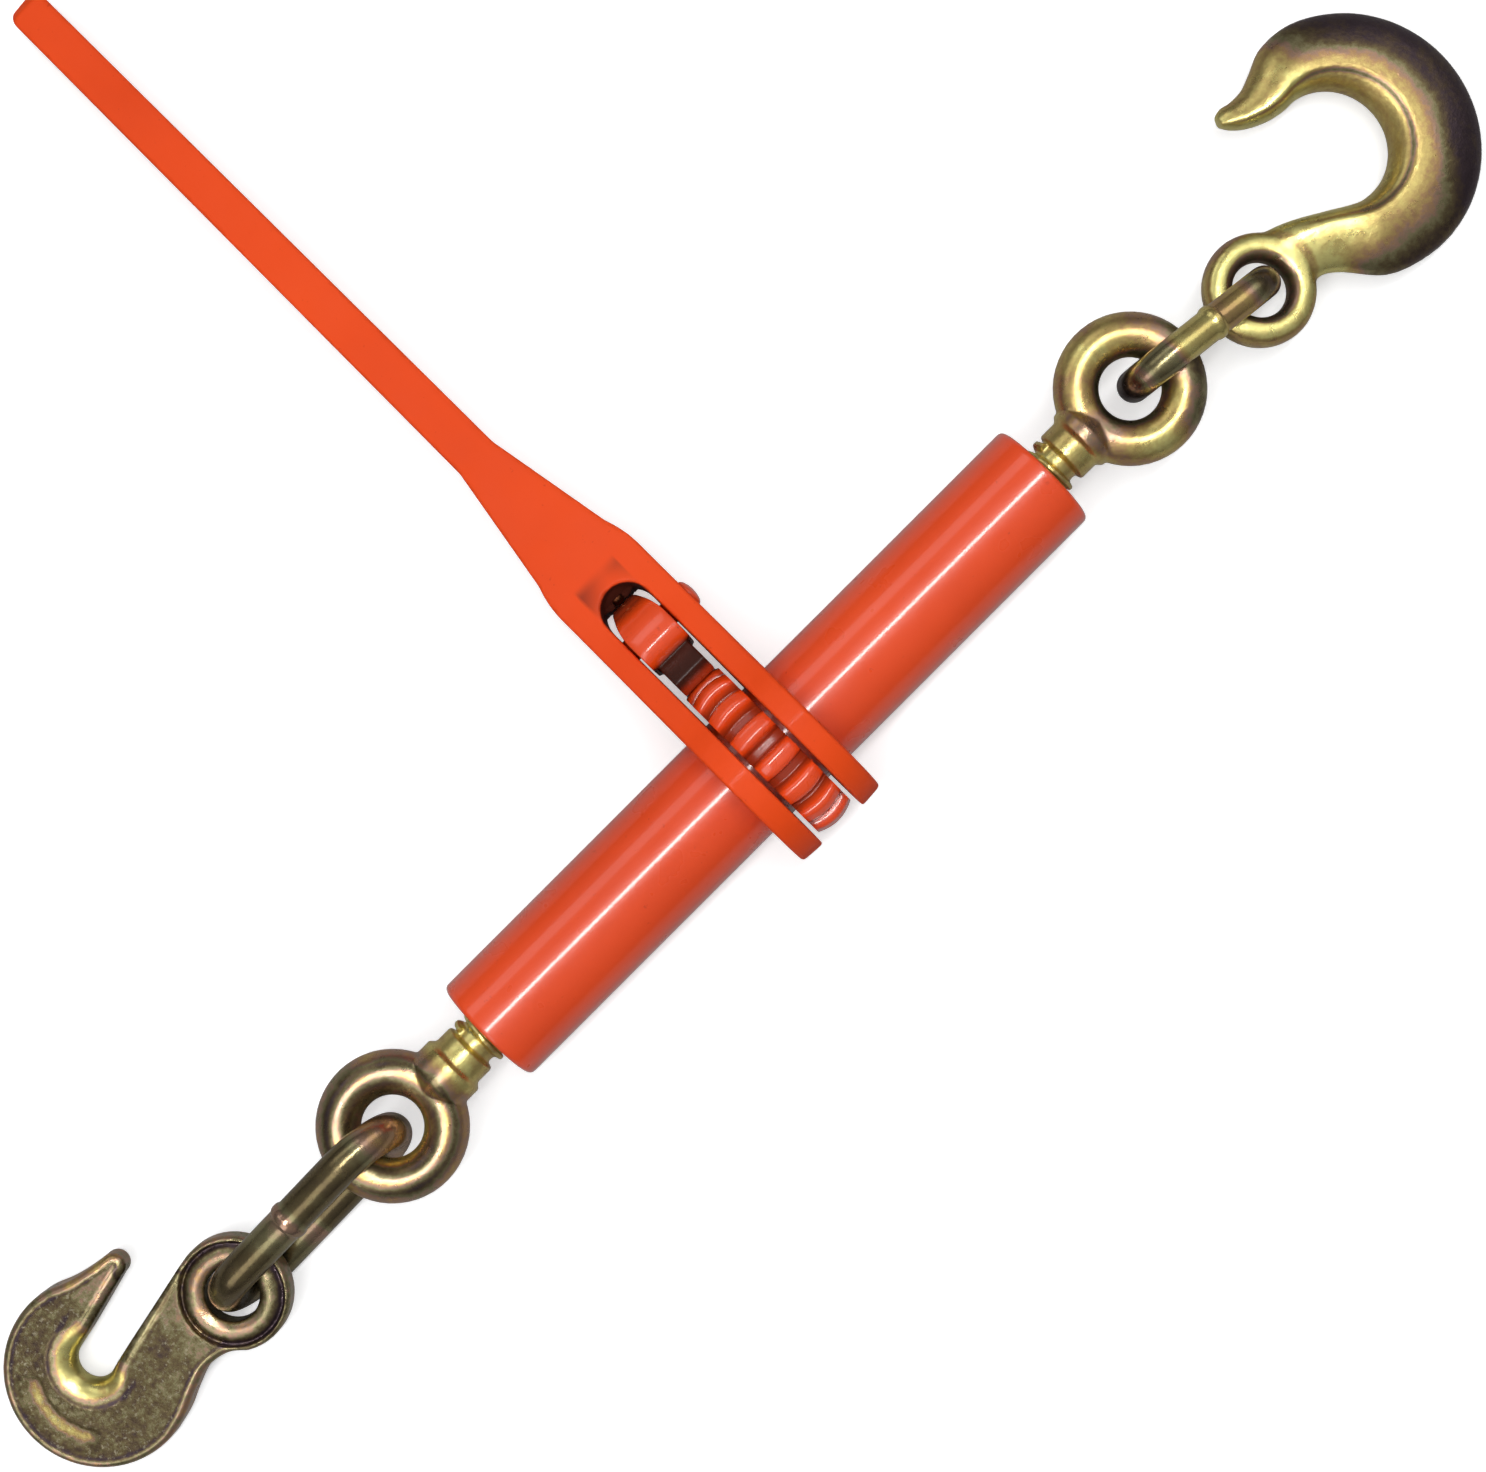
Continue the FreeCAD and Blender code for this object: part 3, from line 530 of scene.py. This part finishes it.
def make_handle(material):
    """The forged lever, softened all over, with round fork ends and painted shade inside the fork."""
    made = forged(copied("lever", "handle"), 0.65, 7)
    matrix = axes(WHEEL, LEVER_WAY, LEVER_UP)
    shape = local(matrix, points_of(made))
    reach = np.hypot(shape[:, 0], shape[:, 1])
    corner = step_up(12.5, 14.5, np.abs(shape[:, 2])) * step_up(29.5, 31.5, reach)
    soften_where(made, corner * step_up(45.0, 25.0, shape[:, 0]), 14)
    # The smoothing draws the fork's ends in a little, and here they are let out again.
    shape = local(matrix, points_of(made))
    reach = np.hypot(shape[:, 0], shape[:, 1])
    grow = 1 + 0.8 / reach * step_up(30.0, 32.0, reach) * step_up(20.0, 0.0, shape[:, 0])
    shape[:, :2] *= grow[:, None]
    # The web's lower lip comes close to the back of the pawl.
    aside = np.abs(shape[:, 2])
    lip = (shape[:, 0] > 66.5) & (shape[:, 0] < 70.0) & (shape[:, 1] < 2.5) & (aside < 7.0)
    nose = 67.6 + 0.9 * step_up(3.5, 6.5, aside)
    shape[:, 0] = np.where(lip, np.minimum(shape[:, 0], nose), shape[:, 0])
    move_points(made, place(matrix, shape))
    # Painted shade inside the fork's window: strongest on the web's end wall, lighter along the cheeks.
    inside = step_up(9.0, 8.2, np.abs(shape[:, 2]))
    deep = step_up(13.4, 11.6, shape[:, 1])
    web = step_up(59.0, 62.0, shape[:, 0]) * step_up(80.0, 76.0, shape[:, 0])
    cheek = step_up(60.0, 56.0, shape[:, 0]) * 0.45
    paint(made, "painted_shade", inside * deep * (0.93 * web + cheek))
    piece(made, "lever", "orange_paint", material, "handle")


def make_pawl(material):
    """The pawl, crowned across its width, with painted shade on its arms and tail."""
    made = forged(copied("double_pawl", "pawl"), 0.4, 9)
    matrix = axes(PIN, LEVER_WAY, LEVER_UP)
    shape = local(matrix, points_of(made))
    # The crown has this radius at the thumb pieces, which are this far from the pin.
    crown = 22.0
    thumb = 20.0
    shape[:, 1] *= 1 - shape[:, 2] ** 2 / (2 * crown * thumb)
    move_points(made, place(matrix, shape))
    # Painted shade: nearly black on the arms, less towards their tips, and dark on the tail.
    arms = step_up(10.6, 11.6, -shape[:, 0])
    tail = step_up(5.5, 12.0, shape[:, 0])
    tips = step_up(21.0, 23.5, -shape[:, 0])
    paint(made, "painted_shade", np.maximum(0.97 * arms * (1 - 0.4 * tips), 0.75 * tail))
    piece(made, "pawl", "orange_paint", material, "pawl")


def make_pin(material):
    """The rivet, with its dome on the right cheek."""
    low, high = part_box("pawl_pin")
    left = (low[0] - PIN.x) / MM
    right = (high[0] - PIN.x) / MM
    face = (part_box("handle")[1][0] - PIN.x) / MM
    radius = 4.0
    head = 4.9
    centre = 0.02
    profile = [
        (left, centre),
        (left, radius - 0.3),
        (left + 0.3, radius),
        (face - 0.3, radius),
        (face - 0.1, head - 0.5),
    ]
    for step in range(9):
        turn = step / 8 * math.pi / 2
        along = face + 0.2 + (right - face - 0.2) * math.sin(turn)
        profile.append((along, max(head * math.cos(turn), centre)))
    made = lathe("pawl_rivet", axes(PIN, (1, 0, 0), (0, 1, 0)), profile, 96)
    piece(made, "lever", "orange_paint", material, "pawl_pin")


# ---- eyes and links ----


def make_eye(side, body, material):
    """A screw with its eye: the right one's film is darker at its edges, the left one's in two rings."""
    node = f"{side}_eye_bolt"
    away = 1 if side == "right" else -1
    low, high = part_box(node)
    end = (high[0] if away > 0 else low[0]) / MM
    made = forged(copied(f"{side}_eye", node), 0.42, 6)
    shape = points_of(made) / MM
    ahead = (shape[:, 0] - end) * away + 25.0
    across = shape[:, 1] - AXIS.y / MM
    ring = np.hypot(ahead, across)
    turned = np.degrees(np.arctan2(across, ahead))
    bore = step_up(13.4, 11.0, ring) * step_up(-24, -16, ahead)
    rim = step_up(21.0, 24.4, ring) * step_up(-26, -18, ahead)
    flank = step_up(16.0, 21.0, ring) * step_up(70, 20, np.abs(turned + 35.0))
    ends = np.cos(np.radians(turned)) ** 2 * step_up(26.0, 22.0, ring)
    neck = step_up(-22.0, -27.0, ahead)
    if side == "right":
        film = 0.12 + 0.40 * bore + 0.16 * rim + 0.34 * flank + 0.30 * ends + 0.04 * neck
    else:
        lines = np.exp(-((ring - 20.8) ** 2)) + np.exp(-((ring - 14.2) ** 2) / 2)
        light = np.exp(-((ring - 17.8) ** 2) / 1.5)
        streaks = (0.26 * lines - 0.20 * light) * (1 - neck)
        # The left eye's film starts darker than the right one's, as painted shade for the weaker light on
        # this side.
        film = 0.60 - 0.48 * neck + streaks - 0.16 * rim - 0.12 * ends
        film = film - 0.60 * bore * step_up(6.0, -8.0, across)
    paint(made, "film", film + 0.07 * np.sin(across * 0.31 + ahead * 0.24))
    paint(made, "rough", np.full(len(shape), 0.15))
    piece(made, body, "yellow_plating", material, node)


def bands(values, stops):
    """A smooth run of numbers through (place, number) stops."""
    return np.interp(values, [at for at, _ in stops], [number for _, number in stops])


# How dark each link's film is along its length, from the eye's end at -1 to the hook's end at 1.
LINK_FILM = {
    "right": [(-1, 0.95), (-0.86, 0.85), (-0.78, 0.42), (-0.66, 0.66), (-0.42, 0.60), (-0.3, 0.12),
              (0.12, 0.10), (0.2, 0.34), (0.5, 0.30), (0.72, 0.74), (0.88, 0.92), (1, 0.6)],
    "left": [(-1, 0.50), (-0.8, 0.34), (-0.6, 0.66), (-0.3, 0.72), (0.0, 0.70), (0.08, 0.45),
             (0.3, 0.62), (0.6, 0.74), (0.85, 0.72), (1, 0.45)],
}


def make_link(side, away, material):
    """A chain link, with bands of film along it."""
    node = f"{side}_link"
    made = forged(copied(f"{side}_chain_link", node), 0.4, 8)
    low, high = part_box(node)
    shape = points_of(made)
    run = (shape[:, 0] - (low[0] + high[0]) / 2) / ((high[0] - low[0]) / 2) * away
    paint(made, "film", bands(run, LINK_FILM[side]))
    paint(made, "rough", np.full(len(shape), 0.2))
    piece(made, node, "yellow_plating", material, node)


# ---- hooks ----


def hook_matrix(side):
    """A hook's frame: its eye at the origin, X towards its bowl and Y to the lever's side."""
    joint = joints[f"{side}_hook_swing"]
    away = 1 if side == "slip" else -1
    normal = Vector(joint["axis"])
    along = Vector((away, 0, 0))
    along -= along.dot(normal) * normal
    return axes(joint["pos_m"], along, (0, 1, 0))


def grab_lines():
    """The grab hook in plan: its outer rim and the wall of its slot, as lines of points."""
    lean = math.radians(13.6)
    slot_end = np.array((49.1, 16.4))
    way = np.array((-math.cos(lean), math.sin(lean)))
    aside = np.array((math.sin(lean), math.cos(lean)))
    half = 6.65
    upper = slot_end + way * 29.6 + aside * half
    lower = slot_end + way * 44.4 - aside * half
    bend = circle_points(slot_end, half, 76.4, -103.6, 25)
    wall = np.vstack([upper, bend, lower])
    eye = circle_points((0, 0), 19.4, 90 - 13.6, 302, 40)
    belly = [(9.4, -17.0), (15.2, -12.6), (23.3, -11.2), (31.7, -13.7), (39.9, -17.1), (48.4, -19.1)]
    belly = smooth_through(belly, 6)
    back = circle_points((50.6, 12.8), 32.0, -94, 92, 50)
    finger = [(49.5, 44.8), (42.9, 43.5), (36.3, 40.9), (28.6, 39.1), (21.5, 38.1)]
    finger = smooth_through(finger, 6)
    tip = circle_points((21.8, 34.0), 4.2, 95, 255, 12)
    rim = np.vstack([eye, belly[1:-1], back, finger[1:-1], tip])
    return rim, wall


def edge_height(distance, height, radius):
    """The height of a rounded edge at a distance in from it."""
    inside = np.clip(radius - distance, 0, radius)
    return height - radius + np.sqrt(np.maximum(radius**2 - inside**2, 0))


def grab_top(plan, rim, wall):
    """The grab hook's upper face over plan points: its height, where it is panel and groove,
    and the distances to its rim, its slot's wall and the middle of its eye."""
    full = 6.7
    eye = 4.9
    to_rim = nearest(plan, rim)
    to_wall = nearest(plan, wall)
    radius = np.hypot(plan[:, 0], plan[:, 1])
    half = eye + (full - eye) * step_up(14.0, 38.0, plan[:, 0])
    saddle = 2.8 + 3.8 * step_up(42.0, 53.0, plan[:, 0])
    top = np.minimum(edge_height(to_rim, half, 2.2), edge_height(to_wall, half, saddle))
    ridge = 3.4 + 5.2 * step_up(42.0, 53.0, plan[:, 0])
    panel = step_up(2.3, 3.4, to_rim) * step_up(ridge, ridge + 1.3, to_wall) * step_up(17.0, 19.0, radius)
    outer = np.hypot(plan[:, 0] - 50.6, plan[:, 1] - 12.8)
    turned = np.degrees(np.arctan2(plan[:, 1] - 12.8, plan[:, 0] - 50.6))
    groove = step_up(18.5, 20.0, outer) * step_up(28.4, 26.8, outer) * step_up(46, 34, np.abs(turned + 2))
    top = top - 0.6 * panel - 1.5 * groove
    boss = eye * np.sqrt(np.clip(1 - ((radius - 12.6) / 5.0) ** 2, 0.2, 1))
    in_eye = step_up(17.8, 16.9, radius)
    top = in_eye * np.minimum(boss, top) + (1 - in_eye) * top
    return top, panel, groove, to_rim, to_wall, radius


def make_grab_hook(material):
    """The grab hook: a plate with rounded edges, a ridge round its slot and sunk rough panels."""
    rim, wall = grab_lines()
    full = 6.7
    outline = np.vstack([rim, wall[:-1]])
    matrix = hook_matrix("grab")
    levels = np.linspace(-full, full, 5)
    rings = [place(matrix, np.column_stack([outline, np.full(len(outline), level)])) for level in levels]
    made = forged(skin("grab_hook_body", rings), 0.5, 0)
    cut_hole(made, matrix, 9.2)
    made = forged(made, 0.5, 0)
    shape = local(matrix, points_of(made))
    top, *_ = grab_top(shape[:, :2], rim, wall)
    shape[:, 2] = np.clip(shape[:, 2], -top, top)
    move_points(made, place(matrix, shape))
    made = forged(made, 0.45, 5)
    shape = local(matrix, points_of(made))
    _, panel, groove, to_rim, to_wall, radius = grab_top(shape[:, :2], rim, wall)
    end = step_up(40.0, 48.0, shape[:, 0])
    finger = step_up(24.0, 32.0, shape[:, 1]) * step_up(46.0, 34.0, shape[:, 0])
    outer = np.hypot(shape[:, 0] - 50.6, shape[:, 1] - 12.8)
    film = 0.52 + 0.20 * panel - 0.16 * finger
    # A painted shade line where the rim drops into the sunk panel.
    film = film + 0.34 * np.exp(-((to_rim - 2.9) ** 2) / 0.5)
    # A painted highlight on the saddle at the slot's end, and a painted shade line past it.
    film = film - 0.50 * end * step_up(6.5, 4.5, to_wall) * step_up(-4.0, 4.0, shape[:, 1])
    film = film + 0.40 * end * np.exp(-((to_wall - 8.4) ** 2) / 0.8)
    film = film + 0.14 * (1 - end) * step_up(5.5, 3.0, to_wall)
    # A painted highlight along the outer side of the groove.
    film = film - 0.55 * groove * np.exp(-((outer - 22.3) ** 2) / 3.0)
    # A painted shade band on the outer slope of the eye's boss.
    film = film + 0.30 * step_up(13.5, 16.5, radius) * step_up(18.5, 17.2, radius)
    film = film + 0.25 * step_up(10.8, 9.2, radius) - 0.20 * step_up(28.0, 21.0, shape[:, 0]) * panel
    paint(made, "film", film)
    paint(made, "rough", panel)
    piece(made, "grab_hook", "yellow_plating", material, "grab_hook")


def cut_hole(thing, matrix, radius):
    """Cuts a round hole about the local Z axis at the origin."""
    reach = 12.0
    turned = matrix @ Matrix.Rotation(math.radians(-90), 4, "Y")
    tool = lathe("hole_tool", turned, [(-reach, 0.01), (-reach, radius), (reach, radius), (reach, 0.01)], 96)
    drill = thing.modifiers.new("hole", "BOOLEAN")
    drill.operation = "DIFFERENCE"
    drill.solver = "EXACT"
    drill.object = tool
    baked(thing)
    bpy.data.objects.remove(tool)


def rim_reach(centre, back_centre, back, degrees):
    """How far the back's circle is from another centre, in one direction."""
    ray = np.array((math.cos(math.radians(degrees)), math.sin(math.radians(degrees))))
    away = np.array(centre) - np.array(back_centre)
    along = away @ ray
    return math.sqrt(back**2 - away @ away + along**2) - along


def slip_stations():
    """Rows of inner x, inner y, outer x, outer y and thickness, from the eye to the bill."""
    bowl = np.array((51.1, 16.1))
    back_centre = (56.8, 12.5)
    full = 19.0
    rows = [
        (11.0, 13.8, 9.8, -13.2, full - 9.0),
        (22.1, 9.8, 16.9, -11.0, full - 5.6),
        (33.3, 3.7, 23.9, -14.8, full - 2.6),
    ]
    for degrees in range(-112, 65, 16):
        ray = np.array((math.cos(math.radians(degrees)), math.sin(math.radians(degrees))))
        inner = bowl + 19.7 * ray
        outer = bowl + rim_reach(bowl, back_centre, 44.6, degrees) * ray
        rows.append((*inner, *outer, full - 2.2 * max(0.0, degrees / 96)))
    rows.append((54.5, 35.5, 58.3, 55.8, full - 1.9))
    rows.append((49.0, 35.7, 49.5, 52.5, full - 2.8))
    rows.append((42.8, 37.0, 43.6, 50.4, full - 5.2))
    rows.append((36.4, 39.9, 38.0, 50.2, full - 8.0))
    rows.append((32.1, 43.2, 33.9, 51.0, full - 10.6))
    rows.append((29.7, 46.4, 30.6, 50.3, full - 14.0))
    return rows


# Half of the slip hook's section, as shares of its half width and half thickness, from the wall
# of the bowl to the back.
SLIP_SECTION = [
    (-1.00, 0.00), (-0.97, 0.30), (-0.88, 0.58), (-0.76, 0.80), (-0.66, 0.88), (-0.57, 0.985),
    (-0.42, 1.00), (-0.15, 0.97), (0.18, 0.88), (0.48, 0.74), (0.74, 0.54), (0.93, 0.28), (1.00, 0.00),
]


def slip_section():
    """A hook's section: a leaning inner wall, a crease, a ridge and a top that falls to the back."""
    upper = smooth_through(SLIP_SECTION, 4)
    lower = upper[-2:0:-1] * (1, -1)
    return np.vstack([upper, lower])


def ring_eye(name, matrix, middle, wide, high):
    """A round eye about the origin, with a rounded section."""
    turn = np.linspace(0, 2 * math.pi, 120, endpoint=False)
    section = np.linspace(0, 2 * math.pi, 40, endpoint=False)
    reach = middle + wide * np.sign(np.cos(section)) * np.abs(np.cos(section)) ** 0.85
    lift = high * np.sign(np.sin(section)) * np.abs(np.sin(section)) ** 0.8
    rings = [place(matrix, np.column_stack([reach * math.cos(a), reach * math.sin(a), lift])) for a in turn]
    return skin(name, rings, closed=True)


def soften_where(thing, weights, passes):
    """Smooths only where the weights are high."""
    group = thing.vertex_groups.new(name="soft")
    for level in range(1, 6):
        chosen = np.flatnonzero(np.round(weights * 5) == level)
        group.add(chosen.tolist(), level / 5, "REPLACE")
    soften = thing.modifiers.new("soften", "SMOOTH")
    soften.factor = 0.5
    soften.iterations = passes
    soften.vertex_group = "soft"
    baked(thing)


def make_slip_hook(material):
    """The slip hook: gold along its shank, with a painted highlight on its ridge and painted shade round its
    back and under its belly.
    """
    matrix = hook_matrix("slip")
    rows = smooth_through(slip_stations(), 7)
    section = slip_section()
    rings = []
    for x0, y0, x1, y1, thick in rows:
        middle = np.array((x0 + x1, y0 + y1)) / 2
        wide = np.array((x1 - x0, y1 - y0)) / 2
        plan = middle + section[:, :1] * wide
        rings.append(place(matrix, np.column_stack([plan, section[:, 1] * thick / 2])))
    body = skin("slip_body", rings)
    eye = ring_eye("slip_eye", matrix, 14.15, 4.85, 5.8)
    made = forged(joined("slip_hook_body", [body, eye]), 0.55, 3)
    shape = local(matrix, points_of(made))
    radius = np.hypot(shape[:, 0], shape[:, 1])
    join = step_up(12.0, 15.5, radius) * step_up(32.0, 20.0, radius) * step_up(2.0, 8.0, shape[:, 0])
    soften_where(made, join, 60)
    shape = local(matrix, points_of(made))
    radius = np.hypot(shape[:, 0], shape[:, 1])
    to_inner = nearest(shape[:, :2], rows[:, 0:2])
    to_outer = nearest(shape[:, :2], rows[:, 2:4])
    across = 2 * to_inner / (to_inner + to_outer) - 1
    turned = np.degrees(np.arctan2(shape[:, 1] - 16.1, shape[:, 0] - 51.1))
    body = step_up(22.0, 30.0, shape[:, 0])
    back = step_up(-80, -35, turned) * step_up(86, 46, turned) * body
    belly = step_up(-20, -50, turned) * step_up(-140, -112, turned) * body
    ridge = step_up(-0.60, -0.52, across) * step_up(-0.20, -0.40, across) * body
    wall = step_up(-0.62, -0.72, across) * body
    crease = np.exp(-((across + 0.64) ** 2) / 0.002) * body
    edge = step_up(0.4, 0.95, across) * body
    shank = step_up(46.0, 34.0, shape[:, 0]) * step_up(8.0, 2.0, shape[:, 1] - 12.0)
    crown = step_up(62, 85, turned) * body
    # The film is painted darker towards the outer side round the back, under the belly and at the outer edge
    # as painted shade, darker along the crease as a painted dark reflection, and lighter on the ridge as a
    # painted highlight.
    film = 0.20 + 0.10 * body - 0.20 * shank - 0.16 * crown
    film = film + back * (0.08 + 0.56 * step_up(-0.30, 0.30, across))
    film = film + belly * 0.40 * step_up(-0.1, 0.8, across) + 0.16 * edge
    film = film - 0.12 * ridge - 0.18 * wall + 0.28 * crease
    ring = step_up(21.0, 19.0, radius)
    film = film + ring * (0.5 * step_up(12.6, 11.8, radius) + 0.26 * step_up(16.6, 17.6, radius))
    tip = step_up(36.0, 30.5, shape[:, 0]) * step_up(35.0, 40.0, shape[:, 1])
    paint(made, "film", film * (1 - 0.8 * tip))
    paint(made, "rough", 0.15 + 0.3 * back)
    piece(made, "slip_hook", "yellow_plating", material, "slip_hook")


# ---- what stays as CAD made it ----


def dress_inner_pieces():
    """Steel for the nuts, washers, rings, plunger and spring."""
    bare = steel("oiled_steel", (0.42, 0.41, 0.39), 0.28)
    spring = steel("spring_wire", (0.30, 0.30, 0.31), 0.22)
    for name in ("left_barrel_nut", "right_barrel_nut", "left_stop_washer", "right_stop_washer"):
        dress(nodes[name], bare)
    dress(nodes["detent_plunger"], steel("grimy_steel", (0.20, 0.07, 0.03), 0.30))
    for name in ("left_retaining_ring", "right_retaining_ring", "detent_spring"):
        dress(nodes[name], spring)


# ---- stage ----


def make_floor():
    """A pale floor: near white to the eye, and darker in reflections, as in a wide dim room."""
    bpy.ops.mesh.primitive_plane_add(size=60.0, location=(0, 0, -0.0003))
    floor = bpy.context.active_object
    floor.name = "studio_floor"
    made = Nodes("pale_floor")
    tone = made.ramp(made.noise(1.5, 2.0), [(0.3, (0.88, 0.88, 0.88)), (0.7, (0.90, 0.90, 0.90))])
    seen = made.add("ShaderNodeLightPath").outputs["Is Camera Ray"]
    dim = (0.34, 0.34, 0.34)
    made.link(made.mix(seen, dim, tone), made.shader.inputs["Base Color"])
    made.shader.inputs["Roughness"].default_value = 0.9
    made.shader.inputs["Specular IOR Level"].default_value = 0.0
    made.shader.inputs["Emission Color"].default_value = (1.0, 1.0, 1.0, 1.0)
    glow = 0.42
    made.link(made.maths("MULTIPLY", seen, glow), made.shader.inputs["Emission Strength"])
    floor.data.materials.append(made.material)


def add_light(name, place_at, aim, size, power, colour=(1, 1, 1)):
    """A rectangular soft light that looks at a point."""
    lamp = bpy.data.lights.new(name, "AREA")
    lamp.shape = "RECTANGLE"
    lamp.size = size[0]
    lamp.size_y = size[1]
    lamp.energy = power
    lamp.color = colour
    made = bpy.data.objects.new(name, lamp)
    made.location = place_at
    toward = Vector(aim) - Vector(place_at)
    made.rotation_euler = toward.to_track_quat("-Z", "Y").to_euler()
    bpy.context.scene.collection.objects.link(made)


def light_scene():
    """A dim room that is lighter overhead, a narrow strip above and a soft panel past the lever."""
    world = bpy.data.worlds.new("studio")
    bpy.context.scene.world = world
    world.use_nodes = True
    tree = world.node_tree
    way = tree.nodes.new("ShaderNodeTexCoord")
    split = tree.nodes.new("ShaderNodeSeparateXYZ")
    ramp = tree.nodes.new("ShaderNodeValToRGB")
    tree.links.new(way.outputs["Generated"], split.inputs["Vector"])
    tree.links.new(split.outputs["Z"], ramp.inputs["Fac"])
    ramp.color_ramp.elements[0].color = (0.10, 0.10, 0.11, 1.0)
    ramp.color_ramp.elements[1].color = (0.50, 0.50, 0.50, 1.0)
    tree.links.new(ramp.outputs["Color"], tree.nodes["Background"].inputs["Color"])
    tree.nodes["Background"].inputs["Strength"].default_value = 0.8
    middle = tuple(AXIS)
    add_light("overhead_strip", (0.0, AXIS.y + 0.105, 1.75), middle, (1.7, 0.15), 19.0)
    add_light("far_panel", (0.0, AXIS.y + 1.35, 1.20), middle, (1.8, 0.55), 3.0)
    add_light("soft_left", (-1.4, AXIS.y - 0.2, 1.3), middle, (0.9, 1.4), 5.5)
    add_light("soft_right", (1.5, AXIS.y + 0.1, 1.2), middle, (0.9, 1.4), 4.0)


def add_camera():
    """Straight down, with the barrel across the picture from lower left to upper right."""
    lens = bpy.data.cameras.new("camera")
    lens.sensor_fit = "HORIZONTAL"
    lens.sensor_width = 36.0
    lens.lens = 84.8
    lens.clip_start = 0.05
    lens.clip_end = 30.0
    made = bpy.data.objects.new("camera", lens)
    over = Vector((-1.4, 9.1, 1130.0))
    made.location = AXIS + over * MM
    made.rotation_euler = (0.0, 0.0, math.radians(-45))
    bpy.context.scene.collection.objects.link(made)
    bpy.context.scene.camera = made


def main():
    """Makes every piece, the stage, the lights and the camera."""
    bpy.context.scene.view_settings.view_transform = "Standard"
    paint_coat = enamel("orange_enamel", 0.9)
    wheel_coat = enamel("orange_enamel_wheel", 1.0, with_painted_shade=True)
    forged_coat = enamel("orange_enamel_forged", 0.05, with_painted_shade=True)
    smooth_film = chromate("chromate_smooth", 0.0, 0.17)
    forged_film = chromate("chromate_forged", 0.5, 0.21)
    rough_film = chromate("chromate_rough", 1.0, 0.24)
    make_barrel(paint_coat)
    make_gear(wheel_coat)
    make_handle(forged_coat)
    make_pawl(wheel_coat)
    make_pin(paint_coat)
    for side, away in (("left", -1), ("right", 1)):
        make_eye(side, f"{side}_screw", forged_film)
        make_link(side, away, smooth_film)
    make_grab_hook(rough_film)
    make_slip_hook(forged_film)
    dress_inner_pieces()
    make_floor()
    light_scene()
    add_camera()


main()
